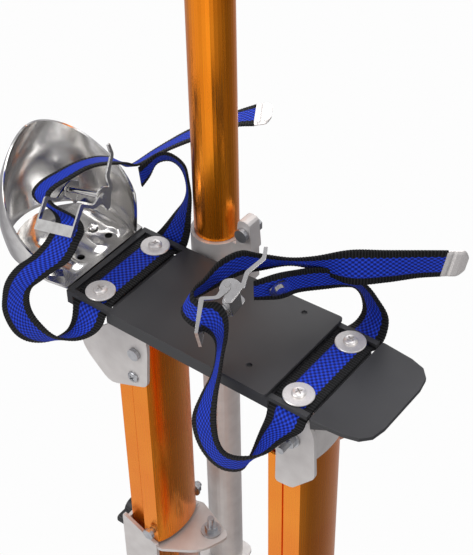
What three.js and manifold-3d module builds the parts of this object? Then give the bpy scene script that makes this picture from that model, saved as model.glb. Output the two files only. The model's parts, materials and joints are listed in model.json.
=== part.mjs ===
// Drywall stilt for the left leg: a foot plate on two telescopic legs that stand on a
// sprung floor plate, with a side strut, a leg band, a heel cup and two buckled straps.
// Millimetres, +Z up, +X towards the toe, +Y towards the strut. Origin: centre of the sole's underside.
import * as THREE from 'three';
import { mergeVertices } from 'three/addons/utils/BufferGeometryUtils.js';
import Module from 'manifold-3d';

const wasm = await Module();
wasm.setup();

// ---- driving dimensions ----
const lowestFoot = 457.2;    // top of the foot plate's rim above the floor with the legs shut
const pinHolePitch = 25.4;
const drawnLift = pinHolePitch;               // the legs are drawn one hole up
const footHeight = lowestFoot + drawnLift;
const footShift = 20;        // foot plate centre ahead of the sole's centre
const legSpacing = 146;      // rear leg to front leg
const gap = 0.4;             // clearance between pieces that touch
const slideGap = 0.6;        // clearance between pieces that slide
const pivotGap = 0.5;        // radial clearance of a pivot that is left open

const soleLength = 300;
const soleWidth = 116;
const soleThick = 12;
const floorLength = 286;
const floorWidth = 104;
const floorThick = 3;
const axleHeight = 44;       // leg axles above the floor
const axleRadius = 5;
const clampBoltRadius = 3;
const stayBoltRadius = 4;    // bolt under the strut
const knobStem = 4;
const springArm = 42;        // spring rod ahead of or behind its leg axle
const springTop = 73;        // top of the leg springs
const springRadius = 10;
const springWire = 2.6;

const lowerDeep = 17.4;      // lower leg along X, neck included
const lowerWide = 42;
const lowerWall = 2;
const neckDeep = 4.4;
const neckWide = 30;
const lowerBottom = 60;
const pinHoleRadius = 4;

const boxDeep = 21.5;          // upper leg along X
const boxWide = 52;
const boxWall = 2;
const boxFlat = 15;          // side of the upper leg from its heel face to the ridge
const lowerTop = footHeight - 90;
const boxTop = footHeight - 44;
const boxBottom = footHeight - 278;
const clampBoltZ = boxBottom + 12;
const clampBoltX = 9;        // from the heel face of the upper leg
const knobZ = boxBottom - 14;

const bracketThick = 3.2;    // formed plates on the legs
const earThick = 3;
const wrapThick = 2;         // strip round the nose of the front leg
const pivotDrop = 50;        // foot pivots below the foot plate's rim
const pivotBoltRadius = 3;

const plateWidth = 91;       // foot plate
const heelEnd = -132;        // ends and windows, from the plate's centre
const toeJoin = 88;
const toeTip = 134;
const plateThick = 3;
const flangeDrop = 12;
const rimBar = 4.5;
const deckHeel = -88;
const deckToe = 53;
const deckWidth = 97;
const deckTop = 3;
const strapWidth = 31;
const strapThick = 1.8;
const heelStrapX = -110;
const toeStrapX = 70;
const washerRadius = 11.4;
const screwSpread = 32;      // strap screws from the plate's centre line

const cupRadius = 46;        // heel cup
const cupCentre = -172;
const cupWall = 1.8;
const cupHeight = 94;
const cupReach = 1.4;        // how far the outer wall is drawn forward
const cupLow = 6;            // wall left at the cup's front ends

const strutX = -77.5;        // strut, from the plate's centre
const innerRadius = 15.5;
const strutY = plateWidth / 2 + innerRadius + 7;
const innerWall = 1.8;
const outerRadius = innerRadius + 2.1;
const strutSeat = 11;        // lower end of the outer tube above the rim
const outerLength = 392;
const innerTopZ = 205;       // top of the inner tube above the rim
const strutFoot = footHeight - 386;           // lower end of the inner tube

const bandRadius = 49;       // calf space inside the pad
const bandPad = 5;
const bandShell = 2;
const bandHeight = 72;
const bandZ = 356;           // middle of the leg band above the rim
const bandY = -16;
const bandX = -88;

// ---- finishes ----
const finish = (color, roughness, metalness) =>
  new THREE.MeshStandardMaterial({ color, roughness, metalness });
const orangeAnodised = finish(0xf08a14, 0.32, 0.85);
const satinAluminium = finish(0xdedad6, 0.42, 0.9);
const brightSteel = finish(0xd8d8da, 0.18, 1);
const zincSteel = finish(0xb9babd, 0.35, 0.9);
const blackCoat = finish(0x333335, 0.55, 0.2);
const soleRubber = finish(0x1d1d1e, 0.85, 0);
const blueWebbing = finish(0x2744c8, 0.8, 0);
const blackFoam = finish(0x202022, 0.95, 0);

// ---- solids ----
const group = new THREE.Group();

function solid(geometry) {
  const plain = geometry.clone();
  plain.deleteAttribute('normal');
  plain.deleteAttribute('uv');
  const merged = mergeVertices(plain, 1e-4);
  return new wasm.Manifold(new wasm.Mesh({
    numProp: 3,
    vertProperties: new Float32Array(merged.attributes.position.array),
    triVerts: new Uint32Array(merged.index.array),
  }));
}

function part(name, material, body) {
  const mesh = body.getMesh();
  const geometry = new THREE.BufferGeometry();
  geometry.setAttribute('position', new THREE.BufferAttribute(mesh.vertProperties, 3));
  geometry.setIndex(new THREE.BufferAttribute(mesh.triVerts, 1));
  geometry.computeVertexNormals();
  const node = new THREE.Mesh(geometry, material);
  node.name = name;
  group.add(node);
}

function block(x0, x1, y0, y1, z0, z1) {
  const geometry = new THREE.BoxGeometry(x1 - x0, y1 - y0, z1 - z0);
  return solid(geometry.translate((x0 + x1) / 2, (y0 + y1) / 2, (z0 + z1) / 2));
}

// A closed outline whose points are [x, y] or [x, y, corner radius].
function outline(points) {
  const shape = new THREE.Shape();
  const count = points.length;
  const at = (i) => new THREE.Vector2(points[(i + count) % count][0], points[(i + count) % count][1]);
  for (let i = 0; i < count; i += 1) {
    const here = at(i);
    const shorter = Math.min(at(i - 1).distanceTo(here), at(i + 1).distanceTo(here));
    const r = Math.min(points[i][2] ?? 0, shorter * 0.45);
    const a = at(i - 1).sub(here).normalize().multiplyScalar(r).add(here);
    const b = at(i + 1).sub(here).normalize().multiplyScalar(r).add(here);
    if (i === 0) shape.moveTo(a.x, a.y);
    else shape.lineTo(a.x, a.y);
    if (r > 0) shape.quadraticCurveTo(here.x, here.y, b.x, b.y);
  }
  shape.closePath();
  return shape;
}

function extrude(shape, from, to, curveSegments = 3) {
  const geometry = new THREE.ExtrudeGeometry(shape, {
    depth: to - from, bevelEnabled: false, curveSegments, steps: 1,
  });
  return geometry.translate(0, 0, from);
}

const plateZ = (points, z0, z1) => solid(extrude(outline(points), z0, z1));
// An XZ outline that is given its thickness along Y.
const plateY = (points, y0, y1) => solid(extrude(outline(points), -y1, -y0).rotateX(Math.PI / 2));
// A YZ outline that is given its thickness along X.
const plateX = (points, x0, x1) =>
  solid(extrude(outline(points), x0, x1).rotateX(Math.PI / 2).rotateZ(Math.PI / 2));

function rod(axis, radius, from, to, a, b, sides = 16) {
  const geometry = new THREE.CylinderGeometry(radius, radius, to - from, sides);
  const middle = (from + to) / 2;
  if (axis === 'x') return solid(geometry.rotateZ(Math.PI / 2).translate(middle, a, b));
  if (axis === 'y') return solid(geometry.translate(a, middle, b));
  return solid(geometry.rotateX(Math.PI / 2).translate(a, b, middle));
}

const join = (first, ...rest) => rest.reduce((sum, next) => sum.add(next), first);
const cut = (first, ...rest) => rest.reduce((sum, next) => sum.subtract(next), first);
const moved = (body, x, y, z) => body.translate([x, y, z]);

// ---- places ----
const rearX = footShift - 110;                     // heel side of the rear lower leg
const frontX = rearX + legSpacing;
const rearPivotX = footShift - 82.5;
const frontPivotX = rearPivotX + legSpacing;
const pivotZ = footHeight - pivotDrop;
const axleOffset = lowerDeep / 2;
const boxStart = lowerDeep + slideGap;
const bracketIn = boxWide / 2 + gap;
const bracketOut = bracketIn + bracketThick;
const socketHalf = lowerWide / 2 + 3.4;            // leg foot across, from its middle
const floorEarIn = socketHalf + slideGap;
const floorEarOut = floorEarIn + earThick;
const footEarOut = 17;                             // ears inside the upper legs
const footEarIn = footEarOut - earThick;
const plateBottom = footHeight - plateThick - 2.4;

// ---- floor unit ----
part('sole_pad', soleRubber, plateZ([
  [-soleLength / 2, -soleWidth / 2, 26], [soleLength / 2, -soleWidth / 2, 34],
  [soleLength / 2, soleWidth / 2, 34], [-soleLength / 2, soleWidth / 2, 26],
], 0, soleThick));

function floorPlate() {
  const z0 = soleThick + gap;
  const z1 = z0 + floorThick;
  const half = floorWidth / 2;
  let plate = plateZ([
    [-floorLength / 2, -half, 22], [floorLength / 2, -half, 30],
    [floorLength / 2, half, 30], [-floorLength / 2, half, 22],
  ], z0, z1);
  for (const legX of [rearX, frontX]) {
    const x = legX + axleOffset;
    for (const side of [-1, 1]) {
      const y0 = side > 0 ? floorEarIn : -floorEarOut;
      const ear = plateY([
        [x - 26, z1 - 1], [x + 26, z1 - 1], [x + 12, axleHeight + 12, 9], [x - 12, axleHeight + 12, 9],
      ], y0, y0 + earThick);
      plate = join(plate, ear);
    }
    plate = cut(plate, rod('y', axleRadius + gap, -40, 40, x, axleHeight));
  }
  return plate;
}
part('floor_plate', satinAluminium, floorPlate());

function legUnit(end, legX, armSide) {
  const x = legX + axleOffset;
  const reach = x + armSide * springArm;
  // the axle has a head on the inner side and a nut on the outer side
  part(`${end}_axle`, zincSteel, join(
    rod('y', axleRadius, -floorEarOut - 5, floorEarOut + 6, x, axleHeight),
    rod('y', 8.5, -floorEarOut - 5, -floorEarOut - gap, x, axleHeight, 20),
    rod('y', 8.5, floorEarOut + gap, floorEarOut + 6, x, axleHeight, 6),
  ));
  // cast foot that holds the lower leg, turns on the axle and pushes the spring
  const body = join(
    block(legX - 3.4, legX + lowerDeep + 3.4, -socketHalf, socketHalf, lowerBottom - 8, lowerBottom + 16),
    plateY([
      [legX - 3.4, lowerBottom], [legX - 3.4, axleHeight - 12, 10],
      [legX + lowerDeep + 3.4, axleHeight - 12, 10], [legX + lowerDeep + 3.4, lowerBottom],
    ], -socketHalf, socketHalf),
    block(Math.min(x, reach - armSide * -10), Math.max(x, reach + armSide * 10), -10, 10, axleHeight - 4, axleHeight + 4),
  );
  const socket = block(legX - gap, legX + lowerDeep + gap, -lowerWide / 2 - gap, lowerWide / 2 + gap,
    lowerBottom - gap, lowerBottom + 17);
  part(`${end}_leg_foot`, satinAluminium, cut(body, socket,
    rod('y', axleRadius + gap, -socketHalf - 1, socketHalf + 1, x, axleHeight),
    rod('z', 4 + 1.6, axleHeight - 5, axleHeight + 5, reach, 0)));
  // spring rod bolted to the floor plate, its spring and its top nut
  const rodBase = soleThick + gap + floorThick + gap;
  part(`${end}_spring_rod`, zincSteel, join(
    rod('z', 4, rodBase, springTop + 10, reach, 0, 16),
    rod('z', 8, rodBase, rodBase + 6, reach, 0, 6),
  ));
  const washerZ = axleHeight + 4 + gap;
  const coilLow = washerZ + springWire / 2;
  const coilHigh = springTop - springWire / 2;
  class Coil extends THREE.Curve {
    getPoint(t, target = new THREE.Vector3()) {
      const turn = t * 4.5 * 2 * Math.PI;
      return target.set(springRadius * Math.cos(turn), springRadius * Math.sin(turn),
        coilLow + (coilHigh - coilLow) * t);
    }
  }
  const wire = new THREE.Shape().absarc(0, 0, springWire / 2, 0, 2 * Math.PI);
  const coil = new THREE.ExtrudeGeometry(wire, { steps: 42, curveSegments: 2, extrudePath: new Coil() });
  part(`${end}_spring`, zincSteel, moved(solid(coil), reach, 0, 0));
  part(`${end}_spring_nut`, zincSteel, cut(
    join(rod('z', 13, springTop + gap, springTop + 2.4, reach, 0, 20), rod('z', 8, springTop + gap, springTop + 7.5, reach, 0, 6)),
    rod('z', 4 + gap, springTop - 1, springTop + 11, reach, 0, 16)));
  // lower leg: hollow channel with a narrow neck on the toe side and a row of pin holes
  const half = lowerWide / 2;
  const neck = neckWide / 2;
  const bodyDeep = lowerDeep - neckDeep;
  const inner = half - lowerWall;
  let lower = join(
    block(legX, legX + bodyDeep, -half, half, lowerBottom, lowerTop),
    block(legX + bodyDeep - 1, legX + lowerDeep, -neck, neck, lowerBottom, lowerTop),
  );
  lower = cut(lower, block(legX + lowerWall, legX + bodyDeep - lowerWall, -inner, inner, lowerBottom - 1, lowerTop + 1));
  for (let z = lowerBottom + 32; z < lowerTop - 12; z += pinHolePitch) {
    lower = cut(lower, rod('x', pinHoleRadius, legX - 1, legX + lowerWall + 1, 0, z, 12));
  }
  part(`${end}_lower_leg`, orangeAnodised, lower);
}
legUnit('rear', rearX, -1);
legUnit('front', frontX, 1);

// ---- upper legs ----
// Flat sides that meet a bulged nose at a ridge.
function noseOutline(inset) {
  const half = boxWide / 2 - inset;
  const bulge = boxDeep - boxFlat;
  const ridge = boxStart + boxFlat - inset;
  const shape = new THREE.Shape();
  shape.moveTo(boxStart + inset, -half);
  shape.lineTo(ridge, -half);
  shape.bezierCurveTo(ridge + bulge * 0.7, -half * 0.76, ridge + bulge, -half * 0.36, ridge + bulge, 0);
  shape.bezierCurveTo(ridge + bulge, half * 0.36, ridge + bulge * 0.7, half * 0.76, ridge, half);
  shape.lineTo(boxStart + inset, half);
  shape.closePath();
  return shape;
}

function upperLeg(end, legX, pivotX) {
  const body = cut(
    solid(extrude(noseOutline(0), boxBottom, boxTop, 6)),
    solid(extrude(noseOutline(boxWall), boxBottom - 1, boxTop + 1, 6)),
    rod('y', clampBoltRadius + gap, -bracketIn - 4, bracketIn + 4, boxStart + clampBoltX, clampBoltZ, 14),
    rod('y', pivotBoltRadius + gap, -bracketIn - 4, bracketIn + 4, pivotX - legX, pivotZ, 14),
  );
  part(`${end}_upper_leg`, orangeAnodised, moved(body, legX, 0, 0));
}
upperLeg('rear', rearX, rearPivotX);
upperLeg('front', frontX, frontPivotX);

// clamp at the upper leg's lower end, which wraps both leg profiles and locks the height
const clampLow = boxBottom - 44;
const flangeZ = boxBottom - 7;       // underside of the flange that carries the strut's stay bolt
const strutSeatZ = strutFoot - bracketThick;
function legClamp(end, legX, reach) {
  const x0 = legX - bracketThick - slideGap;
  const x1 = legX + boxStart + boxFlat;
  const side = [[x0, clampLow], [x0, boxBottom + 16, 3], [x1, boxBottom - 1], [x1, clampLow + 12, 6], [x1 - 16, clampLow, 6]];
  let clamp = join(
    plateY(side, -bracketOut, -bracketIn),
    plateY(side, bracketIn, bracketOut),
    block(x0, legX - slideGap, -bracketOut, bracketOut, clampLow, boxBottom + 8),
    block(x1 - 12, x1, -bracketOut, bracketOut, flangeZ, flangeZ + bracketThick),
  );
  if (reach) {
    clamp = join(clamp, plateZ([
      [x1 - 14, -bracketOut + 1], [x1 + 4, -bracketOut + 1, 2], [x1 + 33, -10, 10], [x1 + 44, 18, 8],
      [x1 + 2, 34, 2], [x1 - 14, bracketOut - 1],
    ], flangeZ, flangeZ + bracketThick), plateY([
      [x1 - 34, clampLow + 4], [x1, clampLow + 4], [x1 - 2, strutSeatZ, 4], [x1 - 32, strutSeatZ, 4],
    ], bracketIn, bracketOut), plateZ([
      [x1 - 31, bracketIn], [x1 - 3, bracketIn], [reach + 22, strutY - 10, 6], [reach + 20, strutY + 18, 10],
      [reach - 20, strutY + 18, 10], [reach - 22, strutY - 10, 6],
    ], strutSeatZ, strutSeatZ + bracketThick - gap));
    clamp = cut(clamp,
      rod('z', stayBoltRadius + gap, strutSeatZ - 1, strutSeatZ + bracketThick + 1, reach, strutY, 16),
      rod('z', clampBoltRadius + gap, flangeZ - 1, flangeTop + 1, flangeBolt.x, flangeBolt.y, 14));
  }
  clamp = cut(clamp,
    rod('y', clampBoltRadius + gap, -bracketOut - 1, bracketOut + 1, legX + boxStart + clampBoltX, clampBoltZ, 14),
    rod('x', knobStem + gap, x0 - 1, legX, 0, knobZ, 14));
  part(`${end}_leg_clamp`, satinAluminium, clamp);
  part(`${end}_clamp_bolt`, zincSteel, crossBolt(legX + boxStart + clampBoltX, clampBoltZ, clampBoltRadius, -1));
  // wing knob on a threaded stem that locks the height
  part(`${end}_lock_knob`, soleRubber, join(
    rod('x', knobStem, x0 - 18, x0 + 2, 0, knobZ, 14),
    rod('x', 9, x0 - 18, x0 - gap, 0, knobZ, 20),
    plateX([[-20, knobZ - 4, 3], [20, knobZ - 4, 3], [20, knobZ + 4, 3], [-20, knobZ + 4, 3]], x0 - 17, x0 - 8),
  ));
}

// Bolt that stands on the rear clamp's flange, with its nut and washer.
const flangeBolt = { x: rearX + boxStart + boxFlat + 27, y: 13 };
const flangeTop = flangeZ + bracketThick;
part('flange_bolt', zincSteel, join(
  rod('z', clampBoltRadius, flangeZ - 5, flangeTop + 17, flangeBolt.x, flangeBolt.y, 14),
  rod('z', 5.4, flangeZ - 5, flangeZ - gap, flangeBolt.x, flangeBolt.y, 6),
  rod('z', 9, flangeTop + gap, flangeTop + 2, flangeBolt.x, flangeBolt.y, 20),
  rod('z', 5.6, flangeTop + gap, flangeTop + 7.5, flangeBolt.x, flangeBolt.y, 6),
));

// A bolt through both cheeks: a round head on one side, washer, nut and thread on the other.
function crossBolt(x, z, radius, headSide, thread = 3) {
  const span = (a, b) => (headSide < 0 ? [a, b] : [-b, -a]);
  return join(
    rod('y', radius, ...span(-bracketOut - 3.4, bracketOut + 6 + thread), x, z, 14),
    rod('y', radius + 2.2, ...span(-bracketOut - 3.4, -bracketOut - gap), x, z, 18),
    rod('y', radius + 4, ...span(bracketOut + gap, bracketOut + 1.8), x, z, 20),
    rod('y', radius + 2.5, ...span(bracketOut + gap, bracketOut + 6), x, z, 6),
  );
}
const strutGlobalX = strutX + footShift;
legClamp('rear', rearX, strutGlobalX);
legClamp('front', frontX, null);

// brackets on the tops of the upper legs, with the foot pivots
function topBracket(end, legX, pivotX, side, headSide, wrapped) {
  let bracket = null;
  for (const y0 of [-bracketOut, bracketIn]) {
    const cheek = plateY(side.map(([x, z, r]) => [x + pivotX, footHeight + z, r ?? 0]), y0, y0 + bracketThick);
    bracket = bracket ? join(bracket, cheek) : cheek;
  }
  // web across the heel side of the leg, above the lower leg's end
  bracket = join(bracket, block(legX + boxStart - gap - bracketThick, legX + boxStart - gap, -bracketOut, bracketOut,
    webZ, webZ + 6));
  if (wrapped) {
    const nose = cut(
      solid(extrude(noseOutline(-gap - wrapThick), footHeight - 76, boxTop, 6)),
      solid(extrude(noseOutline(-gap), footHeight - 77, boxTop + 1, 6)),
      block(-10, boxStart + boxFlat - 4, -40, 40, footHeight - 78, boxTop + 2),
    );
    bracket = join(bracket, moved(nose, legX, 0, 0));
  } else {
    for (const z of screwZ) {
      bracket = cut(bracket, rod('y', 2.5, -bracketOut - 1, -bracketIn + 1, pivotX - 3.5, footHeight + z, 12));
    }
  }
  bracket = cut(bracket, rod('y', pivotBoltRadius + gap, -bracketOut - 1, bracketOut + 1, pivotX, pivotZ, 16));
  part(`${end}_top_bracket`, satinAluminium, bracket);
  part(`${end}_pivot_bolt`, zincSteel, crossBolt(pivotX, pivotZ, pivotBoltRadius, headSide, wrapped ? 9 : 3));
}
const webZ = lowerTop + drawnLift + 3;        // clear of the lower leg with the legs shut
const screwZ = [-77];
// outlines from the pivot along X and from the rim up
const rearCheek = [
  [-56.5, -66, 8], [-50.5, -78, 6], [-29.5, -99, 8], [9.5, -82, 5], [12.5, -40, 4],
  [10.5, -22, 8], [-15.5, -22, 8], [-29.5, -38, 10], [-45.5, -50, 10],
];
const frontCheek = [
  [-23.5, -60, 8], [-14.5, -72], [-15, -106, 4], [0.5, -104, 3], [20, -81, 4],
  [18.5, -40, 4], [12.5, -24, 8], [-11.5, -24, 8],
];
topBracket('rear', rearX, rearPivotX, rearCheek, -1, false);
topBracket('front', frontX, frontPivotX, frontCheek, 1, true);

// ---- strut ----
const seatZ = footHeight + strutSeat;
const clampBase = footHeight - 73;
part('strut_inner_tube', satinAluminium, cut(
  rod('z', innerRadius, strutFoot, footHeight + innerTopZ, strutGlobalX, strutY, 32),
  rod('z', innerRadius - innerWall, strutFoot - 1, footHeight + innerTopZ + 1, strutGlobalX, strutY, 32),
));
part('strut_lower_plug', zincSteel, join(
  rod('z', innerRadius - innerWall - gap, strutFoot, strutFoot + 14, strutGlobalX, strutY, 24),
  rod('z', stayBoltRadius, strutSeatZ - 14, strutFoot + 2, strutGlobalX, strutY, 16),
));
part('strut_lower_nut', zincSteel, cut(
  join(rod('z', 7.5, strutSeatZ - 8, strutSeatZ - gap, strutGlobalX, strutY, 6),
    rod('z', 9.5, strutSeatZ - 2, strutSeatZ - gap, strutGlobalX, strutY, 20)),
  rod('z', stayBoltRadius + gap, strutSeatZ - 18, strutSeatZ, strutGlobalX, strutY, 16),
));
part('strut_outer_tube', orangeAnodised, cut(
  rod('z', outerRadius, seatZ + gap, seatZ + outerLength, strutGlobalX, strutY, 40),
  rod('z', innerRadius + 0.3, seatZ, seatZ + outerLength + 1, strutGlobalX, strutY, 40),
));
const clampRadius = 20.5;
function strutClamp() {
  const armY = bracketOut + gap;
  let body = join(
    rod('z', clampRadius, clampBase, seatZ, strutGlobalX, strutY, 32),
    block(strutGlobalX + 18, strutGlobalX + 36, strutY - 6, strutY + 6, seatZ - 34, seatZ - 1),
    plateY([
      [strutGlobalX + 22, seatZ - 10], [strutGlobalX + 38, seatZ - 4, 3], [strutGlobalX + 36, seatZ + 24, 5],
      [strutGlobalX + 25, seatZ + 24, 5],
    ], strutY - 6, strutY + 6),
    block(strutGlobalX - 14, strutGlobalX + 16, armY, strutY, clampBase, clampBase + 12),
  );
  body = cut(body, rod('z', innerRadius + gap, clampBase - 1, seatZ + 1, strutGlobalX, strutY, 32));
  return cut(body, rod('y', 3 + gap, strutY - 10, strutY + 10, strutGlobalX + 30, seatZ + 12, 14));
}
part('strut_clamp', satinAluminium, strutClamp());
part('strut_clamp_bolt', zincSteel, join(
  rod('y', 3, strutY - 9, strutY + 12, strutGlobalX + 30, seatZ + 12, 14),
  rod('y', 5.5, strutY - 10, strutY - 6 - gap, strutGlobalX + 30, seatZ + 12, 18),
  rod('y', 6, strutY + 6 + gap, strutY + 11, strutGlobalX + 30, seatZ + 12, 6),
));
part('strut_cap', soleRubber, join(
  rod('z', outerRadius, seatZ + outerLength + gap, seatZ + outerLength + 4, strutGlobalX, strutY, 32),
  rod('z', innerRadius - 0.3, seatZ + outerLength - 10, seatZ + outerLength + 2, strutGlobalX, strutY, 32),
));

// ---- leg band ----
const bandCentreZ = footHeight + bandZ;
const bandGlobalX = bandX + footShift;
const clampBandOut = strutY - outerRadius - 4.4;
function arcWall(innerR, wall, fromDeg, toDeg, z0, z1) {
  const a0 = THREE.MathUtils.degToRad(fromDeg);
  const a1 = THREE.MathUtils.degToRad(toDeg);
  const shape = new THREE.Shape();
  shape.absarc(0, 0, innerR + wall, a0, a1, false);
  shape.absarc(0, 0, innerR, a1, a0, true);
  shape.closePath();
  return solid(extrude(shape, z0, z1, 16));
}
const shellR = bandRadius + bandPad + gap;
const bandLow = bandCentreZ - bandHeight / 2;
const bandHigh = bandCentreZ + bandHeight / 2;
part('leg_band_shell', satinAluminium, moved(
  arcWall(shellR, bandShell, -20, 200, bandLow, bandHigh), bandGlobalX, bandY, 0));
part('leg_band_pad', blackFoam, moved(
  arcWall(bandRadius, bandPad, -17, 197, bandLow + 3, bandHigh - 3), bandGlobalX, bandY, 0));
const shellOut = shellR + bandShell;
part('leg_band_bracket', satinAluminium, cut(
  join(
    rod('z', outerRadius + 4, bandCentreZ - 20, bandCentreZ + 20, strutGlobalX, strutY, 32),
    block(strutGlobalX - 16, strutGlobalX + 16, clampBandOut - 1.5, strutY - 10, bandCentreZ - 20, bandCentreZ + 20),
    block(strutGlobalX - 6, strutGlobalX + 6, strutY + 14, strutY + outerRadius + 13, bandCentreZ - 14, bandCentreZ + 14),
  ),
  rod('z', outerRadius + gap, bandCentreZ - 21, bandCentreZ + 21, strutGlobalX, strutY, 36),
  block(strutGlobalX - 1.2, strutGlobalX + 1.2, strutY, strutY + outerRadius + 14, bandCentreZ - 21, bandCentreZ + 21),
  rod('x', 2.6 + gap, strutGlobalX - 8, strutGlobalX + 8, strutY + outerRadius + 8.5, bandCentreZ, 14),
));
part('leg_band_clamp_bolt', zincSteel, join(
  rod('x', 2.6, strutGlobalX - 13, strutGlobalX + 12, strutY + outerRadius + 8.5, bandCentreZ, 14),
  rod('x', 5, strutGlobalX - 10.5, strutGlobalX - 6 - gap, strutY + outerRadius + 8.5, bandCentreZ, 6),
  rod('x', 5.4, strutGlobalX + 6 + gap, strutGlobalX + 12, strutY + outerRadius + 8.5, bandCentreZ, 18),
));
part('leg_band_hinge', zincSteel,
  rod('y', 12, bandY + shellOut + gap, clampBandOut - 1.5 - gap, bandGlobalX + 4, bandCentreZ, 24));

// closing strap of the leg band: a ribbon across the open side
const tabAngle = THREE.MathUtils.degToRad(20);
function bandStrap() {
  const r = shellOut + gap;
  const shape = new THREE.Shape();
  const wall = strapThick;
  shape.absarc(0, 0, r + wall, Math.PI - tabAngle * 0.2, 2 * Math.PI + tabAngle * 0.2, false);
  shape.absarc(0, 0, r, 2 * Math.PI + tabAngle * 0.2, Math.PI - tabAngle * 0.2, true);
  shape.closePath();
  return moved(solid(extrude(shape, bandCentreZ - 19, bandCentreZ + 19, 16)), bandGlobalX, bandY, 0);
}
part('leg_band_strap', blueWebbing, bandStrap());
const bandBuckleY = bandY - shellOut - strapThick - 2 * gap;
part('leg_band_buckle', brightSteel, cut(
  block(bandGlobalX - 16, bandGlobalX + 16, bandBuckleY - 4, bandBuckleY - 1.4, bandCentreZ - 24, bandCentreZ + 24),
  block(bandGlobalX - 12, bandGlobalX - 2, bandBuckleY - 5, bandBuckleY, bandCentreZ - 20, bandCentreZ + 20),
  block(bandGlobalX + 2, bandGlobalX + 12, bandBuckleY - 5, bandBuckleY, bandCentreZ - 20, bandCentreZ + 20),
));

// ---- foot plate ----
const F = (points) => points.map(([x, y, r]) => [x + footShift, y, r ?? 0]);
const halfPlate = plateWidth / 2;
const rimZ = footHeight;
const seat = rimZ - 2.4;            // the straps lie on this face
function footBasePlate() {
  const rim = halfPlate;
  let body = join(
    plateZ(F([[heelEnd, -rim, 4], [toeJoin - 2, -rim], [toeJoin - 2, rim], [heelEnd, rim, 4]]), plateBottom, seat),
    block(footShift + heelEnd, footShift + heelEnd + 4.5, -rim, rim, plateBottom, rimZ),
    block(footShift + heelEnd, footShift + toeJoin - 2, -rim, -rim + rimBar, rimZ - flangeDrop, rimZ),
    block(footShift + heelEnd, footShift + toeJoin - 2, rim - rimBar, rim, rimZ - flangeDrop, rimZ),
    block(footShift - 190, footShift + heelEnd + 2, -30, 30, plateBottom - 1, plateBottom + 1.6),
  );
  // the deck rests on a raised field, and the straps pass through slots beside their seats
  body = join(body, block(footShift + deckHeel + 4, footShift + deckToe - 4, -rim + 2, rim - 2, seat - 1, rimZ - 0.6));
  for (const strapX of [heelStrapX, toeStrapX]) {
    const x = footShift + strapX;
    for (const side of [-1, 1]) {
      const inner = side * (rim - rimBar - 6);
      const outer = side * (rim + 1);
      body = cut(body, block(x - strapWidth / 2 - 1.2, x + strapWidth / 2 + 1.2,
        Math.min(inner, outer), Math.max(inner, outer), rimZ - flangeDrop - 1, rimZ - 3.4));
      const slotOut = side * (rim - rimBar);
      body = cut(body, block(x - strapWidth / 2 - 1.2, x + strapWidth / 2 + 1.2,
        Math.min(inner, slotOut), Math.max(inner, slotOut), rimZ - 8, rimZ + 1));
      body = cut(body, rod('z', 3 + gap, plateBottom - 1, rimZ, x, side * screwSpread, 14));
    }
  }
  for (const y of [-12, 20]) body = cut(body, rod('z', 3, plateBottom - 3, rimZ, footShift - 165, y, 12));
  return body;
}
part('foot_base_plate', blackCoat, footBasePlate());

function deck() {
  const half = deckWidth / 2;
  let plate = plateZ(F([
    [deckHeel, -half, 3], [deckToe, -half, 3], [deckToe, half, 3], [deckHeel, half - 6, 3],
  ]), rimZ + 0.2, rimZ + deckTop);
  for (const y of [-31, 36]) plate = cut(plate, rod('z', 2.2, rimZ + 1.6, rimZ + deckTop + 1, footShift + 27, y, 14));
  return plate;
}
part('foot_deck', blackCoat, deck());

part('toe_plate', blackCoat, join(
  plateZ(F([
    [toeJoin, -halfPlate - 1, 2], [toeTip, -halfPlate + 3, 20],
    [toeTip, halfPlate - 3, 20], [toeJoin, halfPlate + 1, 2],
  ]), rimZ - 3.5, rimZ),
  plateY(F([[toeJoin, rimZ - 2], [toeJoin + 18, rimZ - 2], [toeJoin, rimZ - flangeDrop]]), -halfPlate + 1, -halfPlate + 4),
  plateY(F([[toeJoin, rimZ - 2], [toeJoin + 18, rimZ - 2], [toeJoin, rimZ - flangeDrop]]), halfPlate - 4, halfPlate - 1),
));

// formed brackets under the foot plate, whose ears reach down inside the upper legs to the pivots
function pivotBracket(end, pivotX, open) {
  const top = plateBottom - gap;
  const neckZ = boxTop + 3;
  let bracket = block(pivotX - 20, pivotX + 20, -footEarOut, footEarOut, top - earThick, top);
  for (const y0 of [-footEarOut, footEarIn]) {
    bracket = join(bracket, plateY([
      [pivotX - 16, top - 1], [pivotX - 14, neckZ + 8, 3], [pivotX - 6, neckZ, 3], [pivotX - 6, pivotZ - 6, 5],
      [pivotX + 6, pivotZ - 6, 5], [pivotX + 6, neckZ, 3], [pivotX + 14, neckZ + 8, 3], [pivotX + 16, top - 1],
    ], y0, y0 + earThick));
  }
  const clearance = open ? pivotGap : gap;
  bracket = cut(bracket,
    rod('y', pivotBoltRadius + clearance, -footEarOut - 1, footEarOut + 1, pivotX, pivotZ, 20));
  part(`${end}_pivot_bracket`, satinAluminium, bracket);
}
pivotBracket('rear', rearPivotX, false);
pivotBracket('front', frontPivotX, true);

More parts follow.
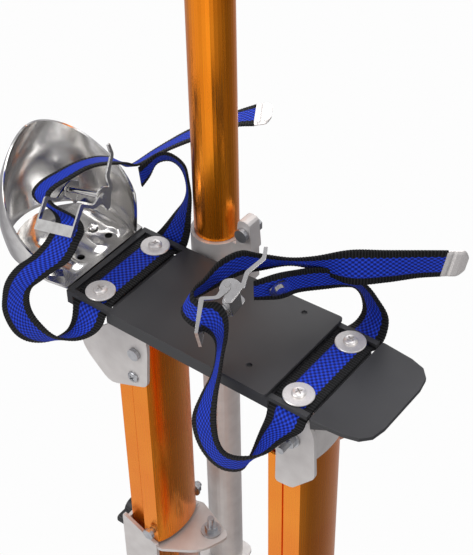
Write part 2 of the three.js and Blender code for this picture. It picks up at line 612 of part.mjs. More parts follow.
// ---- heel cup ----
// Rows of points from the base up; the wall bulges at mid height and its rim falls towards the front.
function heelCup() {
  const across = 16;
  const up = 5;
  const spread = THREE.MathUtils.degToRad(128);
  const points = { outer: [], inner: [] };
  for (let i = 0; i <= across; i += 1) {
    const a = -spread + (2 * spread * i) / across;
    const outerSide = a > 0;
    const fall = Math.max(0, Math.cos(a / (outerSide ? 1.9 : 1.42)));
    const height = cupLow + (cupHeight - cupLow) * Math.pow(fall, outerSide ? 1.05 : 1.7);
    const foreAft = outerSide && Math.cos(a) < 0 ? cupReach : 1.04;    // the outer wall reaches further forward
    for (const [key, inset] of [['outer', 0], ['inner', cupWall]]) {
      for (let j = 0; j <= up; j += 1) {
        const t = j / up;
        const z = height * t;
        const lean = 7 * Math.sin(Math.min(1, z / 60) * Math.PI * 0.6) - 24 * Math.pow(z / cupHeight, 2.2);
        const r = cupRadius - inset + lean * Math.max(0.15, Math.cos(a / 2));
        points[key].push([cupCentre - r * Math.cos(a) * foreAft, r * Math.sin(a), z + 1]);
      }
    }
  }
  const rows = up + 1;
  const columns = across + 1;
  const vertices = [...points.outer, ...points.inner].flatMap(([x, y, z]) => [x + footShift, y, z + rimZ]);
  const shift = rows * columns;
  const index = [];
  const quad = (a, b, c, d) => index.push(a, b, c, a, c, d);
  for (let i = 0; i < across; i += 1) {
    for (let j = 0; j < up; j += 1) {
      const a = i * rows + j;
      const b = (i + 1) * rows + j;
      quad(a, a + 1, b + 1, b);
      quad(a + shift, b + shift, b + 1 + shift, a + 1 + shift);
    }
    const low = i * rows;
    const next = (i + 1) * rows;
    quad(low, next, next + shift, low + shift);
    quad(low + up, low + up + shift, next + up + shift, next + up);
  }
  for (let j = 0; j < up; j += 1) {
    const last = across * rows + j;
    quad(j, j + shift, j + 1 + shift, j + 1);
    quad(last, last + 1, last + 1 + shift, last + shift);
  }
  const geometry = new THREE.BufferGeometry();
  geometry.setAttribute('position', new THREE.BufferAttribute(new Float32Array(vertices), 3));
  geometry.setIndex(index);
  let wall = new wasm.Manifold(new wasm.Mesh({
    numProp: 3, vertProperties: new Float32Array(vertices), triVerts: new Uint32Array(index),
  }));
  const base = plateZ(F([
    [heelEnd - gap, -44, 4], [heelEnd - gap, 44, 4], [-150, 47, 6], [-184, 44, 14], [-208, 24, 16],
    [-212, 0, 8], [-208, -24, 16], [-184, -44, 14], [-150, -47, 6],
  ]), rimZ - 1, rimZ + 1.2);
  wall = join(wall, base);
  for (const y of [-12, 20]) wall = cut(wall, rod('z', 3.4, rimZ - 2, rimZ + 2, footShift - 147, y, 16));
  return wall;
}
part('heel_cup', brightSteel, heelCup());

// ---- strap screws and washers ----
for (const [end, strapX] of [['heel', heelStrapX], ['toe', toeStrapX]]) {
  for (const [name, side] of [['inner', -1], ['outer', 1]]) {
    const x = footShift + strapX;
    const y = side * screwSpread;
    const low = seat + gap + strapThick + gap;
    part(`${end}_${name}_strap_screw`, brightSteel, join(
      rod('z', washerRadius, low, low + 1.6, x, y, 22),
      rod('z', 5.4, low, low + 4.2, x, y, 12),
      rod('z', 3, plateBottom - 4, low + 1, x, y, 10),
    ));
  }
}

// ---- straps ----
// Each row is one place along the webbing: its toe edge, then its heel edge, from the plate's centre.
const toeRoute = [
  [[22, -20, 70], [14, -9, 42]], [[33, -7, 74], [30, 1, 44]], [[36, 14, 64], [31, 23, 35]],
  [[46, 26, 63], [43, 37, 34]], [[57, 38, 56], [50, 52, 29]], [[69, 50, 42], [52, 64, 20]],
  [[77, 56, 26], [55, 69, 9]], [[85, 57, 14], [58, 66, 0]], [[86, 54, 0], [56, 59, -8]],
  [[85.5, 47, -6], [54.5, 47, -6.4]], [[85.5, 40.6, -4.9], [54.5, 40.6, -4.9]], [[85.5, 35.2, -1.4], [54.5, 35.2, -1.4]],
  [[85.5, 31, -1.1], [54.5, 31, -1.1]], [[85.5, -31, -1.1], [54.5, -31, -1.1]],
  [[85.5, -35.2, -1.4], [54.5, -35.2, -1.4]], [[85.5, -40.6, -4.9], [54.5, -40.6, -4.9]], [[85.5, -46, -6], [54.5, -46, -6.4]],
  [[86, -50, -9], [56, -49, -13]], [[76, -58, -20], [50, -51, -35]], [[64, -66, -34], [46, -57, -57]],
  [[49, -72, -41], [42, -62, -69]], [[41, -76, -39], [31, -70, -68]], [[36, -78, -30], [17, -74, -55]],
  [[32, -76, -11], [7, -72, -30]], [[29, -70, 7], [7, -61, -14]], [[28, -65, 21], [10, -52, 0]],
  [[27, -60, 36], [10, -46, 15]], [[26, -53, 52], [8, -45, 28]], [[22, -49, 63], [5, -50, 38]],
  [[14, -48, 68], [0, -54, 41]], [[7, -53, 67], [-8, -53, 41]], [[2, -56, 69], [-14, -52, 43]],
  [[-2, -55, 72], [-17, -49, 46]], [[-2, -51, 76], [-16, -43, 49]], [[1, -46, 80], [-10, -36, 53]],
  [[6, -34, 91], [0, -26, 61]], [[14, -22, 95], [8, -14, 66]], [[20, -11, 88], [13, 2, 61]],
  [[36, 6, 80], [25, 23, 57]], [[47, 18, 79], [40, 33, 52]], [[65, 38, 80], [65, 38, 49]],
  [[81, 52, 78], [81, 55, 47]], [[100, 67, 77], [98, 74, 47]], [[116, 80, 76], [109, 85, 46]],
  [[129, 91, 73], [124, 96, 48]],
];
const heelRoute = [
  [[-113, 22, 80], [-121, 33, 52]], [[-108, 28, 86], [-118, 40, 60]], [[-102, 34, 92], [-117, 47, 68]],
  [[-97, 41, 89], [-112, 57, 67]], [[-90, 47, 79], [-106, 63, 58]], [[-89, 50, 63], [-103, 65, 40]],
  [[-88, 51, 48], [-106, 64, 26]], [[-88, 50, 33], [-112, 59, 15]], [[-90, 49, 8], [-120, 51, 0]],
  [[-94, 47, -6], [-125, 47, -6.4]], [[-94.5, 40.6, -4.9], [-125.5, 40.6, -4.9]],
  [[-94.5, 35.2, -1.4], [-125.5, 35.2, -1.4]], [[-94.5, 31, -1.1], [-125.5, 31, -1.1]],
  [[-94.5, -31, -1.1], [-125.5, -31, -1.1]], [[-94.5, -35.2, -1.4], [-125.5, -35.2, -1.4]],
  [[-94.5, -40.6, -4.9], [-125.5, -40.6, -4.9]], [[-94, -46, -6], [-125, -46, -6.4]], [[-93, -50, -9], [-123, -49, -13]],
  [[-95, -57, -15], [-124, -52, -24]], [[-106, -65, -22], [-131, -54, -37]], [[-122, -71, -23], [-143, -63, -46]],
  [[-131, -74, -15], [-150, -75, -40]], [[-138, -76, -4], [-156, -82, -29]], [[-140, -76, 9], [-163, -83, -11]],
  [[-138, -74, 19], [-163, -81, 2]], [[-130, -70, 28], [-159, -79, 19]], [[-122, -64, 37], [-151, -73, 33]],
  [[-113, -59, 46], [-143, -65, 41]], [[-109, -55, 55], [-139, -56, 48]], [[-107, -51, 63], [-137, -50, 55]],
  [[-109, -43, 66], [-139, -41, 58]], [[-118, -37, 68], [-147, -34, 58]], [[-130, -36, 68], [-160, -30, 58]],
  [[-141, -38, 71], [-169, -30, 58]], [[-146, -38, 76], [-174, -29, 62]], [[-145, -32, 81], [-172, -22, 68]],
  [[-136, -24, 89], [-163, -15, 76]], [[-126, -14, 97], [-151, -2, 84]], [[-119, -6, 98], [-143, 10, 85]],
  [[-118, 6, 92], [-141, 22, 78]], [[-124, 22, 80], [-144, 37, 62]], [[-128, 40, 66], [-149, 54, 48]],
  [[-125, 60, 65], [-145, 79, 50]], [[-116, 84, 66], [-133, 108, 57]], [[-107, 103, 66], [-123, 128, 59]],
  [[-98, 121, 67], [-114, 146, 61]], [[-90, 135, 63], [-106, 161, 62]],
  [[-82, 150, 62], [-96, 172, 61]],
];

// Straps move out with the plate's edges.
const routeHalf = 45.5;      // half width of the plate the routes are drawn for
const routeSeat = 31;        // the straps lie flat between here and the middle
const widened = (y) => y + Math.sign(y) * Math.min(1, Math.abs(y) / routeSeat) * (halfPlate - routeHalf);

// A webbing strap of even thickness along a route, as one closed body.
function ribbon(route, from = 0, to = 1, thick = strapThick) {
  const edge = (k) => new THREE.CatmullRomCurve3(
    route.map((row) => new THREE.Vector3(row[k][0] + footShift, widened(row[k][1]), row[k][2] + footHeight)), false, 'centripetal');
  const toeEdge = edge(0);
  const heelEdge = edge(1);
  const rowShares = route.map((row, i) => i / (route.length - 1));
  const shares = [from, ...rowShares.filter((share) => share > from + 0.002 && share < to - 0.002), to];
  const steps = shares.length - 1;
  const at = (curve, t) => curve.getPoint(Math.min(1, Math.max(0, t)));
  const vertices = [];
  for (const t of shares) {
    const a = at(toeEdge, t);
    const b = at(heelEdge, t);
    const ahead = at(toeEdge, t + 0.004).add(at(heelEdge, t + 0.004));
    const along = ahead.sub(at(toeEdge, t - 0.004)).sub(at(heelEdge, t - 0.004));
    const across = a.clone().sub(b);
    const normal = along.cross(across).normalize().multiplyScalar(thick / 2);
    for (const [p, sign] of [[a, 1], [b, 1], [b, -1], [a, -1]]) {
      vertices.push(...p.clone().addScaledVector(normal, sign).toArray());
    }
  }
  const index = [];
  for (let i = 0; i < steps; i += 1) {
    for (let k = 0; k < 4; k += 1) {
      const p = 4 * i + k;
      const q = 4 * i + ((k + 1) % 4);
      index.push(p, q, q + 4, p, q + 4, p + 4);
    }
  }
  const end = 4 * steps;
  index.push(0, 2, 1, 0, 3, 2, end, end + 1, end + 2, end, end + 2, end + 3);
  return new wasm.Manifold(new wasm.Mesh({
    numProp: 3, vertProperties: new Float32Array(vertices), triVerts: new Uint32Array(index),
  }));
}
const screwHole = (strapX, side) => rod('z', 3 + gap, rimZ - 8, rimZ + 8, footShift + strapX, side * screwSpread, 10);
for (const [name, route, strapX] of [['toe', toeRoute, toeStrapX], ['ankle', heelRoute, heelStrapX]]) {
  const tipShare = (route.length - 2) / (route.length - 1);   // the metal tip covers the last row
  part(`${name}_strap`, blueWebbing, cut(ribbon(route, 0, tipShare), screwHole(strapX, -1), screwHole(strapX, 1)));
  part(`${name}_strap_tip`, brightSteel, ribbon(route, tipShare + 0.001, 1, strapThick + 1.2));
}

// ---- buckles ----
// A buckle is drawn in a plane across its pin: +x along the strap, +y off the foot, z along the pin.
const sideGap = strapWidth / 2 + 1.2;
const sideThick = 1.6;
const framePlan = [
  [-6, -3, 3], [-3, 4, 3], [5, 5, 4], [11, -1, 2], [9, -4], [2, -12.5], [-1.5, -12.5], [-2, -6, 3],
];
const armPlan = [
  [8, -3], [11.5, -2.5], [14.2, 7.4, 2], [26, 17.2, 2], [27.2, 26], [24.6, 26], [23.4, 18.8, 2], [11.8, 9.4, 2],
];
const leverPlan = [
  [-2.5, 1, 2], [2.5, 1.5, 2], [2.5, -3, 2], [-5.5, -10.2, 2], [-15.4, -10.6], [-19.4, -33], [-21.6, -33],
  [-18.6, -8.4, 2], [-7, -8, 2],
];
function placed(body, place) {
  const matrix = new THREE.Matrix4().makeBasis(place.x, place.y, place.z).setPosition(place.at);
  return body.transform(matrix.elements);
}
function placeOf(at, pin, along) {
  const z = new THREE.Vector3(...pin).normalize();
  const x = new THREE.Vector3(...along).addScaledVector(z, -new THREE.Vector3(...along).dot(z)).normalize();
  const y = z.clone().cross(x);
  return { at: new THREE.Vector3(at[0] + footShift, widened(at[1]), at[2] + footHeight), x, y, z };
}
function buckle(name, place, leverTurn) {
  let frame = join(
    plateZ(framePlan, sideGap, sideGap + sideThick),
    plateZ(armPlan, sideGap, sideGap + sideThick),
    plateZ(framePlan, -sideGap - sideThick, -sideGap),
    plateZ([[2.4, -12.4], [8.6, -5], [7.4, -4], [1, -11.4]], -sideGap - 0.5, sideGap + 0.5),
  );
  frame = cut(frame, rod('z', 2.2 + gap, -30, 30, 0, 0, 14));
  part(`${name}_buckle_frame`, brightSteel, placed(frame, place));
  const armIn = sideGap + sideThick + gap;
  let lever = join(
    plateZ(leverPlan, armIn, armIn + sideThick),
    plateZ(leverPlan, -armIn - sideThick, -armIn),
    plateZ([[-18.1, -25], [-19.4, -33], [-21.6, -33], [-20.6, -25]], -armIn - 0.5, armIn + 0.5),
    rod('z', 2.2, -armIn - sideThick - 1.4, armIn + sideThick + 1.4, 0, 0, 14),
  );
  lever = lever.rotate([0, 0, leverTurn]);
  part(`${name}_buckle_lever`, brightSteel, placed(lever, place));
}
const toeBuckle = placeOf([11, -32, 64], [0.3, -0.45, 0.84], [0.8, 0.6, 0]);
const ankleBuckle = placeOf([-124, -24, 82], [0.95, -0.05, 0.3], [0.05, 0.95, 0.2]);
buckle('toe', toeBuckle, 0);
buckle('ankle', ankleBuckle, -50);

const rivetPlace = placeOf([31.5, -3, 59], [0.87, -0.45, -0.21], [0.1, -0.25, 0.96]);
part('toe_strap_rivet', brightSteel, placed(join(
  rod('z', 7.6, strapThick / 2 + gap, strapThick / 2 + gap + 1.2, 0, 0, 18),
  rod('z', 3.4, strapThick / 2 + gap, strapThick / 2 + gap + 2.8, 0, 0, 14),
), rivetPlace));

export default group;
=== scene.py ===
# Drywall stilt for the left leg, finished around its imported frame: webbing, lever buckles, polished
# heel cup, coated foot plate and anodised legs. Metres, +Z up, +X towards the toe, +Y to the strut.
import json
import math
import bmesh
import bpy
import numpy as np
from mathutils import Matrix, Quaternion, Vector


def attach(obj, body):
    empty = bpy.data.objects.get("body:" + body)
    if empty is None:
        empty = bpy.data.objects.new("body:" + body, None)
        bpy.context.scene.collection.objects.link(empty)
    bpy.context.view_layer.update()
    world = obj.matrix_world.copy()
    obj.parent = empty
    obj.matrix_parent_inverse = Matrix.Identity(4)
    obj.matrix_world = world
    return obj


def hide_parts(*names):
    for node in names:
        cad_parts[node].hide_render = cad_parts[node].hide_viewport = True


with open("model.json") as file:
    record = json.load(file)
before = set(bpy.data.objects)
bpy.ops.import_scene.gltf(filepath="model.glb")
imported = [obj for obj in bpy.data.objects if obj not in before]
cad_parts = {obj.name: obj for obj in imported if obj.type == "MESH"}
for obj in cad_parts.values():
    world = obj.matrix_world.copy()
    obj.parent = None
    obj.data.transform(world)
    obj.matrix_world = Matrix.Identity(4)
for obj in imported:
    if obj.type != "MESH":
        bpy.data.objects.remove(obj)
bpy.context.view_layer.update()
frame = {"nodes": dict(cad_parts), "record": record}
mm = 0.001
plateShift = Vector((20, 0, 482.6))       # foot plate centre, level with its rim, in millimetres
bodyOfNode = {
    node: body for body, nodes in frame["record"]["behaviour"]["bodies"].items() for node in nodes
}
slotOfNode = {row["node"]: row["material_slot"] for row in frame["record"]["subparts"]}

# ---- camera and light ----
cameraSizes = {
    "place": (0.47385, -0.59534, 1.19263),
    "azimuth": 37.73,
    "elevation": 41.46,
    "roll": -1.09,
    "lens": 92.7,
}


def addCamera(s):
    azimuth, elevation = math.radians(s["azimuth"]), math.radians(s["elevation"])
    back = Vector((
        math.sin(azimuth) * math.cos(elevation),
        -math.cos(azimuth) * math.cos(elevation),
        math.sin(elevation),
    ))
    data = bpy.data.cameras.new("camera")
    data.lens = s["lens"]
    data.clip_start = 0.05
    camera = bpy.data.objects.new("camera", data)
    camera.rotation_mode = "QUATERNION"
    roll = Quaternion((0, 0, 1), math.radians(s["roll"]))
    camera.rotation_quaternion = (-back).to_track_quat("-Z", "Y") @ roll
    camera.location = s["place"]
    bpy.context.scene.collection.objects.link(camera)
    bpy.context.scene.camera = camera


addCamera(cameraSizes)

lights = {
    "keyPanel": {"place": (-0.9, -1.5, 1.9), "size": (1.3, 1.3), "power": 24, "aim": (0, 0, 0.45)},
    "rightPanel": {"place": (1.7, -0.3, 1.0), "size": (0.9, 1.5), "power": 10, "aim": (0, 0, 0.45)},
    "topPanel": {"place": (0.1, 0.5, 2.3), "size": (1.6, 1.2), "power": 16, "aim": (0, 0, 0.45)},
    "backPanel": {"place": (-0.8, 1.6, 1.0), "size": (1.2, 1.2), "power": 9, "aim": (0, 0, 0.5)},
}


def addLights(table):
    for name, s in table.items():
        data = bpy.data.lights.new(name, "AREA")
        data.shape = "RECTANGLE"
        data.size, data.size_y = s["size"]
        data.energy = s["power"]
        lamp = bpy.data.objects.new(name, data)
        lamp.location = s["place"]
        lamp.rotation_euler = (Vector(s["aim"]) - lamp.location).to_track_quat("-Z", "Y").to_euler()
        bpy.context.scene.collection.objects.link(lamp)


addLights(lights)


# ---- node helpers ----
def linear(code):
    values = [int(code[i:i + 2], 16) / 255 for i in (1, 3, 5)]
    return tuple(v / 12.92 if v <= 0.04045 else ((v + 0.055) / 1.055) ** 2.4 for v in values) + (1.0,)


def addNode(tree, kind, inputs=None, **settings):
    node = tree.nodes.new(kind)
    for key, value in settings.items():
        setattr(node, key, value)
    for key, value in (inputs or {}).items():
        if isinstance(value, bpy.types.NodeSocket):
            tree.links.new(value, node.inputs[key])
        else:
            node.inputs[key].default_value = value
    return node


def fillRamp(node, stops):
    while len(node.color_ramp.elements) < len(stops):
        node.color_ramp.elements.new(0.5)
    for element, (place, code) in zip(node.color_ramp.elements, stops):
        element.position = place
        element.color = linear(code)
    return node.outputs["Color"]


# Colour of the room by height, and under the horizon by compass direction, from -180 to 180 degrees.
roomByHeight = [(0.5, "#77767A"), (0.56, "#A9A8AB"), (0.66, "#F2F2F3"), (0.76, "#9A999D"),
                (0.84, "#DADADC"), (0.92, "#7C7B7F"), (1.0, "#D2D2D6")]
roomByCompass = [(-180, "#9C9B9E"), (-156, "#C6C5C8"), (-128, "#E8E7E8"), (-92, "#D4D3D5"), (-76, "#FFFFFF"),
                 (-58, "#FFFFFF"), (-44, "#B6B5B8"), (-18, "#908F92"), (20, "#57565A"), (52, "#6A696C"),
                 (90, "#A09FA2"), (122, "#CBCACD"), (180, "#9C9B9E")]


def addWorld():
    world = bpy.data.worlds.new("studio")
    bpy.context.scene.world = world
    world.use_nodes = True
    tree = world.node_tree
    tree.nodes.clear()
    coords = addNode(tree, "ShaderNodeTexCoord")
    split = addNode(tree, "ShaderNodeSeparateXYZ", {"Vector": coords.outputs["Generated"]})
    height = addNode(tree, "ShaderNodeMapRange", {
        "Value": split.outputs["Z"], "From Min": -1.0, "From Max": 1.0,
    })
    above = fillRamp(addNode(tree, "ShaderNodeValToRGB", {"Fac": height.outputs[0]}), roomByHeight)
    turn = addNode(tree, "ShaderNodeMath", {
        0: split.outputs["Y"], 1: split.outputs["X"],
    }, operation="ARCTAN2")
    compass = addNode(tree, "ShaderNodeMapRange", {
        "Value": turn.outputs[0], "From Min": -math.pi, "From Max": math.pi,
    })
    below = fillRamp(addNode(tree, "ShaderNodeValToRGB", {"Fac": compass.outputs[0]}),
                     [((angle + 180) / 360, code) for angle, code in roomByCompass])
    rise = addNode(tree, "ShaderNodeMapRange", {
        "Value": split.outputs["Z"], "From Min": -0.2, "From Max": 0.1,
    })
    room = addNode(tree, "ShaderNodeMix", {"Factor": rise.outputs[0], 6: below, 7: above}, data_type="RGBA")
    seen = addNode(tree, "ShaderNodeLightPath")
    mix = addNode(tree, "ShaderNodeMix", {
        "Factor": seen.outputs["Is Camera Ray"], 6: room.outputs[2], 7: linear("#FDFDFD"),
    }, data_type="RGBA")
    shade = addNode(tree, "ShaderNodeBackground", {"Color": mix.outputs[2], "Strength": 1.0})
    out = addNode(tree, "ShaderNodeOutputWorld")
    tree.links.new(shade.outputs[0], out.inputs["Surface"])


addWorld()
bpy.context.scene.view_settings.view_transform = "Standard"
bpy.context.scene.view_settings.look = "None"


def newMaterial(name):
    material = bpy.data.materials.new(name)
    material.use_nodes = True
    tree = material.node_tree
    shader = tree.nodes["Principled BSDF"]
    coords = addNode(tree, "ShaderNodeTexCoord")
    return material, tree, shader, coords.outputs["Object"]


def setShader(shader, **values):
    for key, value in values.items():
        shader.inputs[key.replace("_", " ")].default_value = value


def noise(tree, vector, sizeMm, detail=2.0, rough=0.5):
    return addNode(tree, "ShaderNodeTexNoise", {
        "Vector": vector, "Scale": 1 / (sizeMm * mm), "Detail": detail, "Roughness": rough,
    }).outputs["Fac"]


def spread(tree, value, low, high, start=0.3, end=0.7):
    return addNode(tree, "ShaderNodeMapRange", {
        "Value": value, "From Min": start, "From Max": end, "To Min": low, "To Max": high,
    }).outputs[0]


def blendColors(tree, factor, first, second):
    return addNode(tree, "ShaderNodeMix", {
        "Factor": factor, 6: first if not isinstance(first, str) else linear(first),
        7: second if not isinstance(second, str) else linear(second),
    }, data_type="RGBA").outputs[2]


def addBump(tree, shader, height, depthMm, strength=1.0):
    bump = addNode(tree, "ShaderNodeBump", {
        "Height": height, "Distance": depthMm * mm, "Strength": strength,
    })
    tree.links.new(bump.outputs["Normal"], shader.inputs["Normal"])


# ---- materials ----
# Extruded aluminium, dyed anodised: the metal shows through the colour, with faint lines along the length.
def makeAnodised():
    material, tree, shader, place = newMaterial("orangeAnodisedAluminium")
    drawn = addNode(tree, "ShaderNodeMapping", {"Vector": place, "Scale": (1, 1, 0.012)}).outputs[0]
    lines = noise(tree, drawn, 0.9, 3)
    cloud = noise(tree, place, 45)
    tree.links.new(
        blendColors(tree, spread(tree, cloud, 0, 1), "#FF961A", "#FB8A0E"), shader.inputs["Base Color"])
    tree.links.new(spread(tree, lines, 0.2, 0.3), shader.inputs["Roughness"])
    setShader(shader, Metallic=0.9, Coat_Weight=0.12, Coat_Roughness=0.25)
    addBump(tree, shader, lines, 0.02, 0.5)
    return material


# Pressed aluminium sheet, tumbled: a soft, nearly white metal with short faint scratches.
def makeSatinAluminium():
    material, tree, shader, place = newMaterial("tumbledAluminium")
    grit = noise(tree, place, 0.8, 3)
    cloud = noise(tree, place, 14, 3)
    tree.links.new(
        blendColors(tree, spread(tree, cloud, 0, 1), "#DCD8D5", "#CFCAC7"), shader.inputs["Base Color"])
    tree.links.new(spread(tree, grit, 0.4, 0.52), shader.inputs["Roughness"])
    setShader(shader, Metallic=0.45)
    addBump(tree, shader, grit, 0.02, 0.5)
    return material


# Nickel-plated steel: mirror bright with handling marks.
def makeBrightSteel():
    material, tree, shader, place = newMaterial("nickelPlatedSteel")
    marks = noise(tree, place, 9, 3, 0.5)
    tree.links.new(
        blendColors(tree, spread(tree, marks, 0, 1), "#E2E1DF", "#CFCDCB"), shader.inputs["Base Color"])
    tree.links.new(spread(tree, marks, 0.12, 0.2), shader.inputs["Roughness"])
    setShader(shader, Metallic=1.0)
    return material


# Turned steel washers and heads: the same plating over a machined face, so brighter and less sharp.
def makeTurnedSteel():
    material, tree, shader, place = newMaterial("platedTurnedSteel")
    grain = noise(tree, place, 1.2, 3)
    tree.links.new(
        blendColors(tree, spread(tree, grain, 0, 1), "#E9E5E2", "#DCD8D5"), shader.inputs["Base Color"])
    tree.links.new(spread(tree, grain, 0.3, 0.4), shader.inputs["Roughness"])
    setShader(shader, Metallic=0.6)
    return material


# Zinc-plated steel: greyer and softer than nickel.
def makeZincSteel():
    material, tree, shader, place = newMaterial("zincPlatedSteel")
    cloud = noise(tree, place, 4, 3)
    tree.links.new(
        blendColors(tree, spread(tree, cloud, 0, 1), "#C9CACC", "#AEB0B4"), shader.inputs["Base Color"])
    tree.links.new(spread(tree, cloud, 0.26, 0.42), shader.inputs["Roughness"])
    setShader(shader, Metallic=1.0)
    addBump(tree, shader, cloud, 0.02, 0.4)
    return material


# Powder coat on aluminium: matte black with a fine grain and a low sheen.
def makeBlackCoat():
    material, tree, shader, place = newMaterial("blackPowderCoat")
    grain = noise(tree, place, 0.7, 2)
    cloud = noise(tree, place, 30, 3)
    tree.links.new(
        blendColors(tree, spread(tree, cloud, 0, 1), "#29292B", "#323234"), shader.inputs["Base Color"])
    tree.links.new(spread(tree, cloud, 0.42, 0.56), shader.inputs["Roughness"])
    addBump(tree, shader, grain, 0.03, 0.6)
    return material


# Moulded nylon and rubber: dark, with a spark-eroded grain.
def makeMoulded(name, first, second, rough, grainMm, depthMm):
    material, tree, shader, place = newMaterial(name)
    grain = noise(tree, place, grainMm, 3)
    tree.links.new(
        blendColors(tree, spread(tree, grain, 0, 1), first, second), shader.inputs["Base Color"])
    tree.links.new(spread(tree, grain, rough - 0.06, rough + 0.08), shader.inputs["Roughness"])
    addBump(tree, shader, grain, depthMm, 0.7)
    return material


weave = {"endMm": 2.05, "pickMm": 2.2, "blueHalfMm": 9.1}


# Polypropylene webbing: thick shiny yarns, blue in the middle between black borders. The yarns are drawn
# at their real spacing, from the piece's own map, which is in millimetres across and along.
def makeWebbing():
    material, tree, shader, _ = newMaterial("wovenPolypropylene")
    uv = addNode(tree, "ShaderNodeUVMap", uv_map="webbingMap").outputs[0]
    split = addNode(tree, "ShaderNodeSeparateXYZ", {"Vector": uv})

    def math2(kind, a, b=0.0):
        return addNode(tree, "ShaderNodeMath", {0: a, 1: b}, operation=kind).outputs[0]

    across, along = split.outputs["X"], split.outputs["Y"]
    endWave = math2("SINE", math2("MULTIPLY", across, math.pi / weave["endMm"]))
    pickWave = math2("SINE", math2("MULTIPLY", along, math.pi / weave["pickMm"]))
    yarn = math2("MULTIPLY", endWave, pickWave)
    rib = math2("SINE", math2("MULTIPLY", along, 2 * math.pi / weave["pickMm"]))
    # Painted highlight and painted shade: the blue yarns are lighter on their crowns and darker in the
    # valleys between them, and the black border ribs lighter on their tops, as light falls on the weave.
    blue = blendColors(tree, spread(tree, yarn, 0, 1, -0.5, 0.7), "#0A1466", "#2148DA")
    black = blendColors(tree, spread(tree, rib, 0, 1, -0.4, 0.9), "#070708", "#232325")
    wander = math2("MULTIPLY", pickWave, 0.35)
    inside = math2("SUBTRACT", math2("ABSOLUTE", across), math2("ADD", wander, weave["blueHalfMm"]))
    edge = spread(tree, inside, 0, 1, -0.25, 0.25)
    tree.links.new(blendColors(tree, edge, blue, black), shader.inputs["Base Color"])
    height = addNode(tree, "ShaderNodeMix", {"Factor": edge, 2: yarn, 3: rib}).outputs[0]
    setShader(shader, Roughness=0.7, Specular_IOR_Level=0.22)
    addBump(tree, shader, height, 0.25, 0.9)
    return material


# Fabric-faced foam: a dull knit.
def makeKnit():
    material, tree, shader, place = newMaterial("knitFacedFoam")
    cells = addNode(tree, "ShaderNodeTexVoronoi", {"Vector": place, "Scale": 1 / (1.6 * mm)})
    dot = cells.outputs["Distance"]
    tree.links.new(
        blendColors(tree, spread(tree, dot, 0, 1, 0.1, 0.7), "#2B2B2E", "#131315"),
        shader.inputs["Base Color"])
    setShader(shader, Roughness=0.9, Sheen_Weight=0.3)
    addBump(tree, shader, dot, 0.3, 0.8)
    return material


finishes = {
    "orange_anodised": makeAnodised(),
    "satin_aluminium": makeSatinAluminium(),
    "bright_steel": makeBrightSteel(),
    "zinc_steel": makeZincSteel(),
    "black_coat": makeBlackCoat(),
    "black_plastic": makeMoulded("mouldedNylon", "#1B1B1D", "#242426", 0.48, 0.9, 0.04),
    "sole_rubber": makeMoulded("treadRubber", "#161617", "#1F1F20", 0.8, 1.4, 0.1),
    "turned_steel": makeTurnedSteel(),
    "blue_webbing": makeWebbing(),
    "black_foam": makeKnit(),
}
print("materials made:", len(finishes))


# ---- mesh helpers ----
def addPiece(name, mesh, slot, body, stands=(), finish=None):
    piece = bpy.data.objects.new(name, mesh)
    mesh.materials.clear()
    mesh.materials.append(finishes[finish or slot])
    bpy.context.scene.collection.objects.link(piece)
    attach(piece, body)
    if stands:
        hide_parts(*stands)
    return piece


def bakeModifiers(mesh, name, modifiers):
    helper = bpy.data.objects.new(name, mesh)
    bpy.context.scene.collection.objects.link(helper)
    for kind, settings in modifiers:
        modifier = helper.modifiers.new(kind.lower(), kind)
        for key, value in settings.items():
            setattr(modifier, key, value)
    done = bpy.data.meshes.new_from_object(helper.evaluated_get(bpy.context.evaluated_depsgraph_get()))
    bpy.data.objects.remove(helper)
    return done


def softEdges(mesh, degrees=35):
    mesh.shade_smooth()
    mesh.set_sharp_from_angle(angle=math.radians(degrees))
    return mesh


# A CAD node's shape with its doubles merged, its flat faces joined and its edges rounded
# as a real press leaves them.
def roundedCopy(node, width, segments=2, angle=28):
    shape = bmesh.new()
    shape.from_mesh(frame["nodes"][node].data)
    bmesh.ops.remove_doubles(shape, verts=shape.verts, dist=2e-6)
    bmesh.ops.dissolve_limit(shape, angle_limit=math.radians(1.0), verts=shape.verts, edges=shape.edges)
    mesh = bpy.data.meshes.new(node + "_finished")
    shape.to_mesh(mesh)
    shape.free()
    softEdges(mesh)
    done = bakeModifiers(mesh, node, [("BEVEL", {
        "width": width * mm, "segments": segments, "limit_method": "ANGLE",
        "angle_limit": math.radians(angle), "use_clamp_overlap": True, "miter_outer": "MITER_ARC",
        "harden_normals": False,
    }), ("WEIGHTED_NORMAL", {"keep_sharp": True, "weight": 80})])
    done.name = node + "_finished"
    return done


roundings = {
    "sole_pad": 3.0, "floor_plate": 0.8, "rear_leg_foot": 1.6, "front_leg_foot": 1.6,
    "rear_lower_leg": 0.5, "front_lower_leg": 0.5, "rear_upper_leg": 1.8, "front_upper_leg": 1.8,
    "rear_leg_clamp": 0.8, "front_leg_clamp": 0.8, "rear_lock_knob": 1.5, "front_lock_knob": 1.5,
    "rear_top_bracket": 0.4, "front_top_bracket": 0.4, "strut_clamp": 1.2, "leg_band_bracket": 1.0,
    "rear_pivot_bracket": 0.7, "front_pivot_bracket": 0.7, "foot_base_plate": 0.6, "foot_deck": 0.8,
    "toe_plate": 1.0, "leg_band_buckle": 0.7, "toe_buckle_frame": 0.5, "ankle_buckle_frame": 0.5,
    "toe_buckle_lever": 0.5, "ankle_buckle_lever": 0.5, "strut_cap": 2.0,
}
plainNodes = [
    "rear_axle", "front_axle", "rear_spring_rod", "front_spring_rod", "rear_spring_nut", "front_spring_nut",
    "rear_spring", "front_spring", "flange_bolt", "rear_clamp_bolt", "front_clamp_bolt",
    "rear_pivot_bolt", "front_pivot_bolt",
    "strut_inner_tube", "strut_lower_plug", "strut_lower_nut", "strut_outer_tube", "strut_clamp_bolt",
    "leg_band_shell", "leg_band_clamp_bolt", "leg_band_hinge", "toe_strap_rivet",
]
